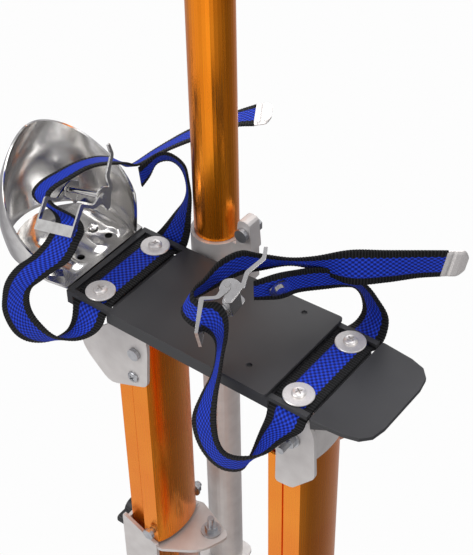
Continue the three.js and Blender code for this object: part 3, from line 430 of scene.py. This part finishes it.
for node, width in roundings.items():
    addPiece(node + "_finished", roundedCopy(node, width), slotOfNode[node], bodyOfNode[node], [node])
for node in plainNodes:
    held = frame["nodes"][node]
    held.data.materials.clear()
    held.data.materials.append(finishes[slotOfNode[node]])
print("hard parts finished")


# ---- fasteners ----
def turned(name, profile, steps=40):
    # closed profile of (radius, height) in millimetres, turned about Z
    shape = bmesh.new()
    rings = []
    for radius, height in profile:
        if radius == 0:
            rings.append([shape.verts.new((0, 0, height))])
            continue
        rings.append([
            shape.verts.new((radius * math.cos(a), radius * math.sin(a), height))
            for a in np.linspace(0, 2 * math.pi, steps, endpoint=False)
        ])
    for low, high in zip(rings, rings[1:]):
        for k in range(steps):
            n = (k + 1) % steps
            corners = [low[k % len(low)], low[n % len(low)], high[n % len(high)], high[k % len(high)]]
            shape.faces.new(list(dict.fromkeys(corners)))
    bmesh.ops.recalc_face_normals(shape, faces=shape.faces)
    mesh = bpy.data.meshes.new(name)
    shape.to_mesh(mesh)
    shape.free()
    return mesh


def crossCutter(name, arm, width, low, high):
    shape = bmesh.new()
    for across in (0, 1):
        size = (arm * 2, width, high - low) if across else (width, arm * 2, high - low)
        made = bmesh.ops.create_cube(shape, size=1.0)["verts"]
        for vert in made:
            vert.co = Vector((
                vert.co.x * size[0], vert.co.y * size[1], vert.co.z * size[2] + (low + high) / 2,
            ))
    mesh = bpy.data.meshes.new(name)
    shape.to_mesh(mesh)
    shape.free()
    return bpy.data.objects.new(name, mesh)


def cutBy(mesh, name, cutters):
    for cutter in cutters:
        bpy.context.scene.collection.objects.link(cutter)
    done = bakeModifiers(mesh, name, [
        ("BOOLEAN", {"object": cutter, "operation": "DIFFERENCE", "solver": "EXACT", "use_self": True})
        for cutter in cutters
    ])
    for cutter in cutters:
        bpy.data.objects.remove(cutter)
    return done


screwSizes = {
    "washer": {"radius": 11.4, "thick": 1.5, "shank": 3.0, "depth": 9.4, "head": 5.3, "rise": 2.6},
    "pan": {"radius": 0, "thick": 0, "shank": 2.4, "depth": 2.0, "head": 5.0, "rise": 2.6},
    "rivet": {"radius": 0, "thick": 0, "shank": 2.0, "depth": 1.0, "head": 4.2, "rise": 1.6},
}


# Pan-head screw with a cross recess, on a flat washer where it has one.
def screwMesh(name, s, crossed=True):
    base = s["thick"]
    profile = [(0, -s["depth"]), (s["shank"], -s["depth"]), (s["shank"], 0)]
    if s["radius"]:
        profile += [(s["radius"] - 0.4, 0), (s["radius"], 0.4), (s["radius"], base - 0.4),
                    (s["radius"] - 0.5, base), (s["head"] + 1.4, base - 0.05), (s["head"], base)]
    dome = [(s["head"] * math.cos(t) ** 0.55, base + s["rise"] * (0.25 + 0.75 * math.sin(t)))
            for t in np.linspace(0, math.pi / 2 - 0.12, 8)]
    profile += [(s["head"], base)] * (not s["radius"]) + dome + [(0, base + s["rise"])]
    mesh = turned(name, profile)
    if crossed:
        top = base + s["rise"]
        mesh = cutBy(mesh, name, [crossCutter("recess", s["head"] * 0.52, 1.15, top - 1.6, top + 1)])
    return softEdges(mesh, 32)


# Copies of one small shape on a set of points, each turned to its own direction and spin.
def placeTree(material):
    tree = bpy.data.node_groups.new("placeOnPoints", "GeometryNodeTree")
    face = tree.interface
    face.new_socket("Geometry", in_out="INPUT", socket_type="NodeSocketGeometry")
    face.new_socket("Shape", in_out="INPUT", socket_type="NodeSocketObject")
    face.new_socket("Scale", in_out="INPUT", socket_type="NodeSocketFloat")
    face.new_socket("Seed", in_out="INPUT", socket_type="NodeSocketInt")
    face.new_socket("Geometry", in_out="OUTPUT", socket_type="NodeSocketGeometry")
    given = addNode(tree, "NodeGroupInput")
    shape = addNode(tree, "GeometryNodeObjectInfo", {
        "Object": given.outputs["Shape"],
    }, transform_space="ORIGINAL")
    aim = addNode(tree, "GeometryNodeInputNamedAttribute", {"Name": "aim"}, data_type="FLOAT_VECTOR")
    spin = addNode(tree, "FunctionNodeRandomValue", {
        2: 0.0, 3: math.pi, "Seed": given.outputs["Seed"],
    }, data_type="FLOAT")
    turn = addNode(tree, "FunctionNodeAlignRotationToVector", {"Vector": aim.outputs["Attribute"]}, axis="Z")
    around = addNode(tree, "ShaderNodeCombineXYZ", {"Z": spin.outputs[1]})
    both = addNode(tree, "FunctionNodeRotateRotation", {
        "Rotation": turn.outputs[0], "Rotate By": around.outputs[0],
    }, rotation_space="LOCAL")
    placedShapes = addNode(tree, "GeometryNodeInstanceOnPoints", {
        "Points": given.outputs["Geometry"], "Instance": shape.outputs["Geometry"],
        "Rotation": both.outputs[0], "Scale": given.outputs["Scale"],
    })
    real = addNode(tree, "GeometryNodeRealizeInstances", {"Geometry": placedShapes.outputs[0]})
    coated = addNode(tree, "GeometryNodeSetMaterial", {"Geometry": real.outputs[0], "Material": material})
    out = addNode(tree, "NodeGroupOutput")
    tree.links.new(coated.outputs[0], out.inputs[0])
    return tree


# spots: (point in millimetres from the foot plate's centre, direction of the head)
def placeShapes(name, mesh, spots, slot, body, stands=(), seed=3, finish=None):
    source = bpy.data.objects.new(name + "_source", mesh)
    bpy.context.scene.collection.objects.link(source)
    points = bpy.data.meshes.new(name)
    points.from_pydata([(Vector(at) + plateShift) * mm for at, _ in spots], [], [])
    layer = points.attributes.new("aim", "FLOAT_VECTOR", "POINT")
    layer.data.foreach_set("vector", np.array([aim for _, aim in spots], float).ravel())
    tree = placeTree(finishes[finish or slot])
    holder = bpy.data.objects.new(name + "_points", points)
    bpy.context.scene.collection.objects.link(holder)
    modifier = holder.modifiers.new("place", "NODES")
    modifier.node_group = tree
    sockets = {item.name: item.identifier for item in tree.interface.items_tree if item.in_out == "INPUT"}
    modifier[sockets["Shape"]] = source
    modifier[sockets["Scale"]] = mm
    modifier[sockets["Seed"]] = seed
    done = bpy.data.meshes.new_from_object(holder.evaluated_get(bpy.context.evaluated_depsgraph_get()))
    done.name = name
    bpy.data.objects.remove(holder)
    bpy.data.objects.remove(source)
    return addPiece(name, done, slot, body, stands, finish)


up = (0, 0, 1)
strapScrews = [((x, y, 0.2), up) for x in (-110, 70) for y in (-32, 32)]
strapScrewNodes = [f"{end}_{side}_strap_screw" for end in ("heel", "toe") for side in ("inner", "outer")]
placeShapes("strap_screws", screwMesh("washerScrew", screwSizes["washer"]), strapScrews,
            "bright_steel", "foot", strapScrewNodes, finish="turned_steel")
placeShapes("cup_rivets", screwMesh("cupRivet", screwSizes["rivet"], False),
            [((-163, 20, 2.6), up), ((-163, -12, 2.6), up)], "bright_steel", "foot", seed=5)
placeShapes("bracket_screw", screwMesh("panScrew", screwSizes["pan"]),
            [((-86, -29.7, -77), (0, -1, 0))], "zinc_steel", "rear_upper", seed=7)


# ---- heel cup ----
cupSizes = {
    "radius": 46, "centre": -172, "wall": 1.8, "height": 94, "low": 6, "spread": 128, "lean": 7, "tuck": 24,
    "stretch": 1.04, "reach": 1.4, "around": 72, "up": 26, "ribPitch": 25,
    "ribRise": 1.9, "holes": [(-147, -12), (-147, 20)],
}


def heelCupWall(s):
    angle = np.radians(np.linspace(-s["spread"], s["spread"], s["around"] + 1))[:, None]
    outerSide = angle > 0
    fall = np.maximum(0, np.cos(angle / np.where(outerSide, 1.9, 1.42)))
    height = s["low"] + (s["height"] - s["low"]) * fall ** np.where(outerSide, 1.05, 1.7)
    stretch = np.where(outerSide & (np.cos(angle) < 0), s["reach"], s["stretch"])
    share = np.linspace(0, 1, s["up"] + 1)[None, :]
    z = height * share
    lean = s["lean"] * np.sin(np.minimum(1, z / 60) * math.pi * 0.6) - s["tuck"] * (z / s["height"]) ** 2.2
    sides = []
    for inset in (0, s["wall"]):
        r = s["radius"] - inset + lean * np.maximum(0.15, np.cos(angle / 2))
        sides.append(np.stack([
            s["centre"] - r * np.cos(angle) * stretch, r * np.sin(angle), z + 1 + 0 * r,
        ], -1))
    outer, inner = sides
    crown = (outer[:, -1:] + inner[:, -1:]) / 2 + np.array([0, 0, 0.8])
    ring = np.concatenate([outer, crown, inner[:, ::-1]], axis=1)
    return gridMesh("cupWall", ring, True)


# Rows of points as one closed skin: each row is a ring, and the first and last rows are capped.
def gridMesh(name, rings, closed):
    count, size = rings.shape[:2]
    i, j = np.meshgrid(np.arange(count - 1), np.arange(size if closed else size - 1), indexing="ij")
    k = (j + 1) % size
    quads = np.stack([i * size + j, i * size + k, (i + 1) * size + k, (i + 1) * size + j], -1).reshape(-1, 4)
    faces = quads.tolist() + [list(range(size))[::-1], [(count - 1) * size + n for n in range(size)]]
    mesh = bpy.data.meshes.new(name)
    mesh.from_pydata(((rings.reshape(-1, 3) + np.array(plateShift)) * mm).tolist(), [], faces)
    shape = bmesh.new()
    shape.from_mesh(mesh)
    bmesh.ops.recalc_face_normals(shape, faces=shape.faces)
    shape.to_mesh(mesh)
    shape.free()
    return mesh


# Pressed floor of the cup: ribs run fore and aft, with a dimple round each screw hole.
def heelCupFloor(s):
    x = np.linspace(-132.6, -211, 70)
    half = np.interp(-x, [132.6, 150, 170, 184, 196, 204, 209, 211], [43.5, 46.5, 46, 43.5, 35, 25, 15, 6])
    y = np.linspace(-1, 1, 64)[None, :] * half[:, None]
    xs = np.repeat(x[:, None], 64, 1)
    window = (np.clip((xs + 196) / 12, 0, 1) * np.clip((-138 - xs) / 6, 0, 1)
              * np.clip((40 - np.abs(y)) / 6, 0, 1))
    rise = s["ribRise"] * (0.5 + 0.5 * np.cos(2 * math.pi * (y - 4) / s["ribPitch"])) ** 1.5 * window
    for hx, hy in s["holes"]:
        near = np.clip((np.hypot(xs - hx, y - hy) - 4.0) / 4.0, 0, 1)
        near = near * near * (3 - 2 * near)
        rise = rise * near
    top = np.stack([xs, y, 1.3 + rise], -1)
    low = np.stack([xs, y, -0.9 + rise * 0], -1)
    mesh = gridMesh("cupFloor", np.concatenate([top, low[:, ::-1]], axis=1), True)
    pins = []
    for hx, hy in s["holes"]:
        pin = turned("pin", [(0, -0.004), (0.003, -0.004), (0.003, 0.006), (0, 0.006)])
        pin.transform(Matrix.Translation((Vector((hx, hy, 0)) + plateShift) * mm))
        pins.append(bpy.data.objects.new("pin", pin))
    return cutBy(mesh, "cupFloor", pins)


def joinMeshes(name, meshes):
    shape = bmesh.new()
    for mesh in meshes:
        shape.from_mesh(mesh)
    done = bpy.data.meshes.new(name)
    shape.to_mesh(done)
    shape.free()
    return done


cupMesh = joinMeshes("heel_cup_finished", [heelCupWall(cupSizes), heelCupFloor(cupSizes)])
addPiece("heel_cup_finished", softEdges(cupMesh, 50), "bright_steel", "foot", ["heel_cup"])
print("fasteners and heel cup made")


# ---- webbing ----
strapSizes = {"width": 31.0, "thick": 1.8, "step": 0.75, "across": 42, "lift": 0.16, "scallop": 0.35}
# Each row is one place along the strap: its toe edge, then its heel edge.
toeRoute = [
    [[22, -20, 70], [14, -9, 42]], [[33, -7, 74], [30, 1, 44]], [[36, 14, 64], [31, 23, 35]],
    [[46, 26, 63], [43, 37, 34]], [[57, 38, 56], [50, 52, 29]], [[69, 50, 42], [52, 64, 20]],
    [[77, 56, 26], [55, 69, 9]], [[85, 57, 14], [58, 66, 0]], [[86, 54, 0], [56, 59, -8]],
    [[85.5, 47, -6], [54.5, 47, -6.4]], [[85.5, 40.6, -4.9], [54.5, 40.6, -4.9]],
    [[85.5, 35.2, -1.4], [54.5, 35.2, -1.4]], [[85.5, 31, -1.1], [54.5, 31, -1.1]],
    [[85.5, -31, -1.1], [54.5, -31, -1.1]], [[85.5, -35.2, -1.4], [54.5, -35.2, -1.4]],
    [[85.5, -40.6, -4.9], [54.5, -40.6, -4.9]], [[85.5, -46, -6], [54.5, -46, -6.4]],
    [[86, -50, -9], [56, -49, -13]], [[76, -58, -20], [50, -51, -35]], [[64, -66, -34], [46, -57, -57]],
    [[49, -72, -41], [42, -62, -69]], [[41, -76, -39], [31, -70, -68]],
    [[36, -78, -30], [17, -74, -55]], [[32, -76, -11], [7, -72, -30]], [[29, -70, 7], [7, -61, -14]],
    [[28, -65, 21], [10, -52, 0]], [[27, -60, 36], [10, -46, 15]], [[26, -53, 52], [8, -45, 28]],
    [[22, -49, 63], [5, -50, 38]], [[14, -48, 68], [0, -54, 41]], [[7, -53, 67], [-8, -53, 41]],
    [[2, -56, 69], [-14, -52, 43]], [[-2, -55, 72], [-17, -49, 46]], [[-2, -51, 76], [-16, -43, 49]],
    [[1, -46, 80], [-10, -36, 53]], [[6, -34, 91], [0, -26, 61]], [[14, -22, 95], [8, -14, 66]],
    [[20, -11, 88], [13, 2, 61]], [[36, 6, 80], [25, 23, 57]], [[47, 18, 79], [40, 33, 52]],
    [[65, 38, 80], [65, 38, 49]], [[81, 52, 78], [81, 55, 47]], [[100, 67, 77], [98, 74, 47]],
    [[116, 80, 76], [109, 85, 46]], [[129, 91, 73], [124, 96, 48]],
]
ankleRoute = [
    [[-113, 22, 80], [-121, 33, 52]], [[-108, 28, 86], [-118, 40, 60]],
    [[-102, 34, 92], [-117, 47, 68]], [[-97, 41, 89], [-112, 57, 67]], [[-90, 47, 79], [-106, 63, 58]],
    [[-89, 50, 63], [-103, 65, 40]], [[-88, 51, 48], [-106, 64, 26]], [[-88, 50, 33], [-112, 59, 15]],
    [[-90, 49, 8], [-120, 51, 0]], [[-94, 47, -6], [-125, 47, -6.4]],
    [[-94.5, 40.6, -4.9], [-125.5, 40.6, -4.9]], [[-94.5, 35.2, -1.4], [-125.5, 35.2, -1.4]],
    [[-94.5, 31, -1.1], [-125.5, 31, -1.1]], [[-94.5, -31, -1.1], [-125.5, -31, -1.1]],
    [[-94.5, -35.2, -1.4], [-125.5, -35.2, -1.4]], [[-94.5, -40.6, -4.9], [-125.5, -40.6, -4.9]],
    [[-94, -46, -6], [-125, -46, -6.4]], [[-93, -50, -9], [-123, -49, -13]],
    [[-95, -57, -15], [-124, -52, -24]], [[-106, -65, -22], [-131, -54, -37]],
    [[-122, -71, -23], [-143, -63, -46]], [[-131, -74, -15], [-150, -75, -40]],
    [[-138, -76, -4], [-156, -82, -29]], [[-140, -76, 9], [-163, -83, -11]],
    [[-138, -74, 19], [-163, -81, 2]], [[-130, -70, 28], [-159, -79, 19]],
    [[-122, -64, 37], [-151, -73, 33]], [[-113, -59, 46], [-143, -65, 41]],
    [[-109, -55, 55], [-139, -56, 48]], [[-107, -51, 63], [-137, -50, 55]],
    [[-109, -43, 66], [-139, -41, 58]], [[-118, -37, 68], [-147, -34, 58]],
    [[-130, -36, 68], [-160, -30, 58]], [[-141, -38, 71], [-169, -30, 58]],
    [[-146, -38, 76], [-174, -29, 62]], [[-145, -32, 81], [-172, -22, 68]],
    [[-136, -24, 89], [-163, -15, 76]], [[-126, -14, 97], [-151, -2, 84]],
    [[-119, -6, 98], [-143, 10, 85]], [[-118, 6, 92], [-141, 22, 78]], [[-124, 22, 80], [-144, 37, 62]],
    [[-128, 40, 66], [-149, 54, 48]], [[-125, 60, 65], [-145, 79, 50]],
    [[-116, 84, 66], [-133, 108, 57]], [[-107, 103, 66], [-123, 128, 59]],
    [[-98, 121, 67], [-114, 146, 61]], [[-90, 135, 63], [-106, 161, 62]],
    [[-82, 150, 62], [-96, 172, 61]],
]


# Smooth curve through the rows, both edges together, at even steps.
def alongRoute(rows, stepMm):
    points = np.array([a + b for a, b in rows], float)
    gaps = np.sqrt(np.linalg.norm(np.diff(points, axis=0), axis=1))
    knots = np.concatenate([[0], np.cumsum(gaps)])
    ahead, behind = 2 * points[-1] - points[-2], 2 * points[0] - points[1]
    padded = np.vstack([behind, points, ahead])
    knots = np.concatenate([[-gaps[0]], knots, [knots[-1] + gaps[-1]]])
    fine = []
    for i in range(len(points) - 1):
        t0, t1, t2, t3 = knots[i:i + 4]
        p0, p1, p2, p3 = padded[i:i + 4]
        t = np.linspace(t1, t2, 60, endpoint=i == len(points) - 2)[:, None]
        a1 = (t1 - t) / (t1 - t0) * p0 + (t - t0) / (t1 - t0) * p1
        a2 = (t2 - t) / (t2 - t1) * p1 + (t - t1) / (t2 - t1) * p2
        a3 = (t3 - t) / (t3 - t2) * p2 + (t - t2) / (t3 - t2) * p3
        b1 = (t2 - t) / (t2 - t0) * a1 + (t - t0) / (t2 - t0) * a2
        b2 = (t3 - t) / (t3 - t1) * a2 + (t - t1) / (t3 - t1) * a3
        fine.append((t2 - t) / (t2 - t1) * b1 + (t - t1) / (t2 - t1) * b2)
    fine = np.vstack(fine)
    middle = (fine[:, :3] + fine[:, 3:]) / 2
    run = np.concatenate([[0], np.cumsum(np.linalg.norm(np.diff(middle, axis=0), axis=1))])
    count = int(run[-1] / stepMm)
    even = np.linspace(0, run[-1], count + 1)
    return even, np.column_stack([np.interp(even, run, fine[:, k]) for k in range(6)])


def eased(values, reach):
    kernel = np.exp(-0.5 * (np.arange(-3 * reach, 3 * reach + 1) / reach) ** 2)
    kernel /= kernel.sum()
    ends = np.vstack([np.repeat(values[:1], 3 * reach, 0), values, np.repeat(values[-1:], 3 * reach, 0)])
    return np.column_stack([np.convolve(ends[:, k], kernel, "valid") for k in range(values.shape[1])])


def unit(rows):
    return rows / np.linalg.norm(rows, axis=1)[:, None]


# Height of the yarns above the middle of the face, from -1 to 1.
def yarnHeight(u, v):
    yarn = np.sin(math.pi * u / weave["endMm"]) * np.sin(math.pi * v / weave["pickMm"])
    rib = np.sin(2 * math.pi * v / weave["pickMm"])
    return np.where(np.abs(u) < weave["blueHalfMm"], yarn, rib)


# A woven ribbon with real thickness, raised yarns and scalloped edges, along the rows of its route that it
# is given.
def ribbonMesh(name, rows):
    s = strapSizes
    run, edges = alongRoute(rows, s["step"])
    edges = eased(edges, 3)
    middle = (edges[:, :3] + edges[:, 3:]) / 2
    across = unit(edges[:, :3] - edges[:, 3:])
    tangent = unit(np.gradient(middle, axis=0))
    normal = unit(np.cross(tangent, across))
    half = float(np.linalg.norm(edges[0, :3] - edges[0, 3:])) / 2
    u = np.linspace(-half, half, s["across"] + 1)
    shape = np.clip((half - np.abs(u)) / 0.8, 0, 1) ** 0.5      # rounded towards the edges
    wave = yarnHeight(u[None, :], run[:, None]) * s["lift"]
    scallop = s["scallop"] * np.abs(np.sin(math.pi * run / weave["pickMm"]))[:, None]
    reach = u[None, :] + np.sign(u)[None, :] * scallop * (np.abs(u)[None, :] > half - 0.8)
    lift = s["thick"] / 2 * (0.45 + 0.55 * shape)[None, :] + wave * shape[None, :]
    base = middle[:, None, :] + across[:, None, :] * reach[:, :, None]
    upper = base + normal[:, None, :] * lift[:, :, None]
    lower = base - normal[:, None, :] * lift[:, :, None]
    ring = np.concatenate([upper, lower[:, ::-1]], axis=1)
    rowsCount, ringCount = ring.shape[:2]
    points = (ring.reshape(-1, 3) + np.array(plateShift)) * mm
    i, j = np.meshgrid(np.arange(rowsCount - 1), np.arange(ringCount), indexing="ij")
    k = (j + 1) % ringCount
    quads = np.stack([
        i * ringCount + j, i * ringCount + k, (i + 1) * ringCount + k, (i + 1) * ringCount + j,
    ], -1)
    faces = quads.reshape(-1, 4).tolist()
    faces.append(list(range(ringCount))[::-1])
    faces.append([(rowsCount - 1) * ringCount + n for n in range(ringCount)])
    mesh = bpy.data.meshes.new(name)
    mesh.from_pydata(points.tolist(), [], faces)
    uAll = np.concatenate([u, u[::-1]])
    layer = mesh.uv_layers.new(name="webbingMap")
    corner = np.zeros(len(mesh.loops), int)
    mesh.loops.foreach_get("vertex_index", corner)
    uv = np.column_stack([uAll[corner % ringCount], run[corner // ringCount]])
    layer.data.foreach_set("uv", uv.astype(np.float32).ravel())
    shape = bmesh.new()
    shape.from_mesh(mesh)
    bmesh.ops.recalc_face_normals(shape, faces=shape.faces)
    shape.to_mesh(mesh)
    shape.free()
    mesh.shade_smooth()
    return mesh, float(run[-1] - run[0])


for node, route in (("toe_strap", toeRoute), ("ankle_strap", ankleRoute)):
    mesh, length = ribbonMesh(node + "_webbing", route[:-1])
    strap = addPiece(node + "_webbing", mesh, "blue_webbing", "foot", [node])
    print(node, "length", round(length), "mm")

# Crimped metal tip: a flat sleeve over the webbing's end, with cut corners and a pressed groove.
tipSizes = {
    "thick": 2.8, "reach": 0.9, "overlap": 1.5, "rows": 26, "across": 18,
    "corner": 0.34, "cornerNarrow": 0.5, "cornerThin": 0.35,
    "groove": 0.5, "grooveAt": 0.3, "grooveWide": 0.06,
    "edge": 0.3, "edgeShare": 0.12, "smooth": 40,
}


def tipMesh(name, rows):
    s = tipSizes
    start, end = np.array(rows[-2], float), np.array(rows[-1], float)
    reach = np.linalg.norm((end - start).mean(0)) * s["reach"]
    across = unit((start[0] - start[1])[None, :])[0]
    lengthwise = unit(((end - start).mean(0))[None, :])[0]
    normal = unit(np.cross(lengthwise, across)[None, :])[0]
    half = np.linalg.norm(start[0] - start[1]) / 2
    u = np.linspace(-1, 1, s["across"])
    rounded = np.clip((1 - np.abs(u)) / s["edgeShare"], 0, 1) ** 0.5
    rings = []
    for t in np.linspace(0, 1, s["rows"]):
        cornerShare = max(0.0, (t - 1 + s["corner"]) / s["corner"])
        wide = half * (1.0 - s["cornerNarrow"] * cornerShare ** 2)
        pressed = s["groove"] * math.exp(-((t - s["grooveAt"]) / s["grooveWide"]) ** 2)
        thin = s["thick"] / 2 * (1 - s["cornerThin"] * cornerShare) - pressed
        middle = start.mean(0) + lengthwise * (t * reach - s["overlap"]) + across * (u * wide)[:, None]
        offset = normal * (thin * (s["edge"] + (1 - s["edge"]) * rounded))[:, None]
        rings.append(np.concatenate([middle + offset, (middle - offset)[::-1]]))
    return softEdges(gridMesh(name, np.array(rings), True), s["smooth"])


for node, route in (("toe_strap_tip", toeRoute), ("ankle_strap_tip", ankleRoute)):
    addPiece(node + "_crimped", tipMesh(node, route), "bright_steel", "foot", [node], finish="turned_steel")

# ---- leg band ----
bandSizes = {
    "centre": (-88, -16, 356), "radius": 49, "pad": 5, "height": 66, "from": -17, "to": 197, "channel": 22,
    "strapRadius": 58.6, "strapWidth": 38, "strapFrom": 176, "strapTo": 364,
}


# Calf pad: a crowned foam strip, drawn in along its sewn channels and edges.
def bandPad(s):
    angles = np.radians(np.linspace(s["from"], s["to"], 150))
    length = s["radius"] * (angles[-1] - angles[0])
    rings = []
    profile = np.linspace(0, 2 * math.pi, 48, endpoint=False)
    for a in angles:
        along = s["radius"] * (a - angles[0])
        seam = abs((along + s["channel"] / 2) % s["channel"] - s["channel"] / 2)
        puff = 0.62 + 0.38 * min(1, seam / 5) ** 0.5
        puff *= min(1, (min(along, length - along) + 0.6) / 6) ** 0.5
        half = s["height"] / 2 - 0.8 * (1 - puff)
        side = np.sign(np.cos(profile)) * np.abs(np.cos(profile)) ** 0.7
        tall = np.sign(np.sin(profile)) * np.abs(np.sin(profile)) ** 0.25
        r = s["radius"] + s["pad"] / 2 + side * s["pad"] / 2 * np.where(side < 0, puff, 0.9)
        rings.append(np.stack([r * math.cos(a), r * math.sin(a), tall * half], -1) + np.array(s["centre"]))
    return gridMesh("leg_band_pad_foam", np.array(rings), True)


pad = addPiece("leg_band_pad_foam", softEdges(bandPad(bandSizes), 60), "black_foam", "leg_band",
               ["leg_band_pad"])


def bandRoute(s):
    rows = []
    for a in np.radians(np.linspace(s["strapFrom"], s["strapTo"], 24)):
        x, y, z = (s["centre"][0] + s["strapRadius"] * math.cos(a),
                   s["centre"][1] + s["strapRadius"] * math.sin(a),
                   s["centre"][2])
        rows.append([[x, y, z + s["strapWidth"] / 2], [x, y, z - s["strapWidth"] / 2]])
    return rows


bandMesh, length = ribbonMesh("leg_band_strap_webbing", bandRoute(bandSizes))
strap = addPiece("leg_band_strap_webbing", bandMesh, "blue_webbing", "leg_band", ["leg_band_strap"])
print("leg band strap length", round(length), "mm")
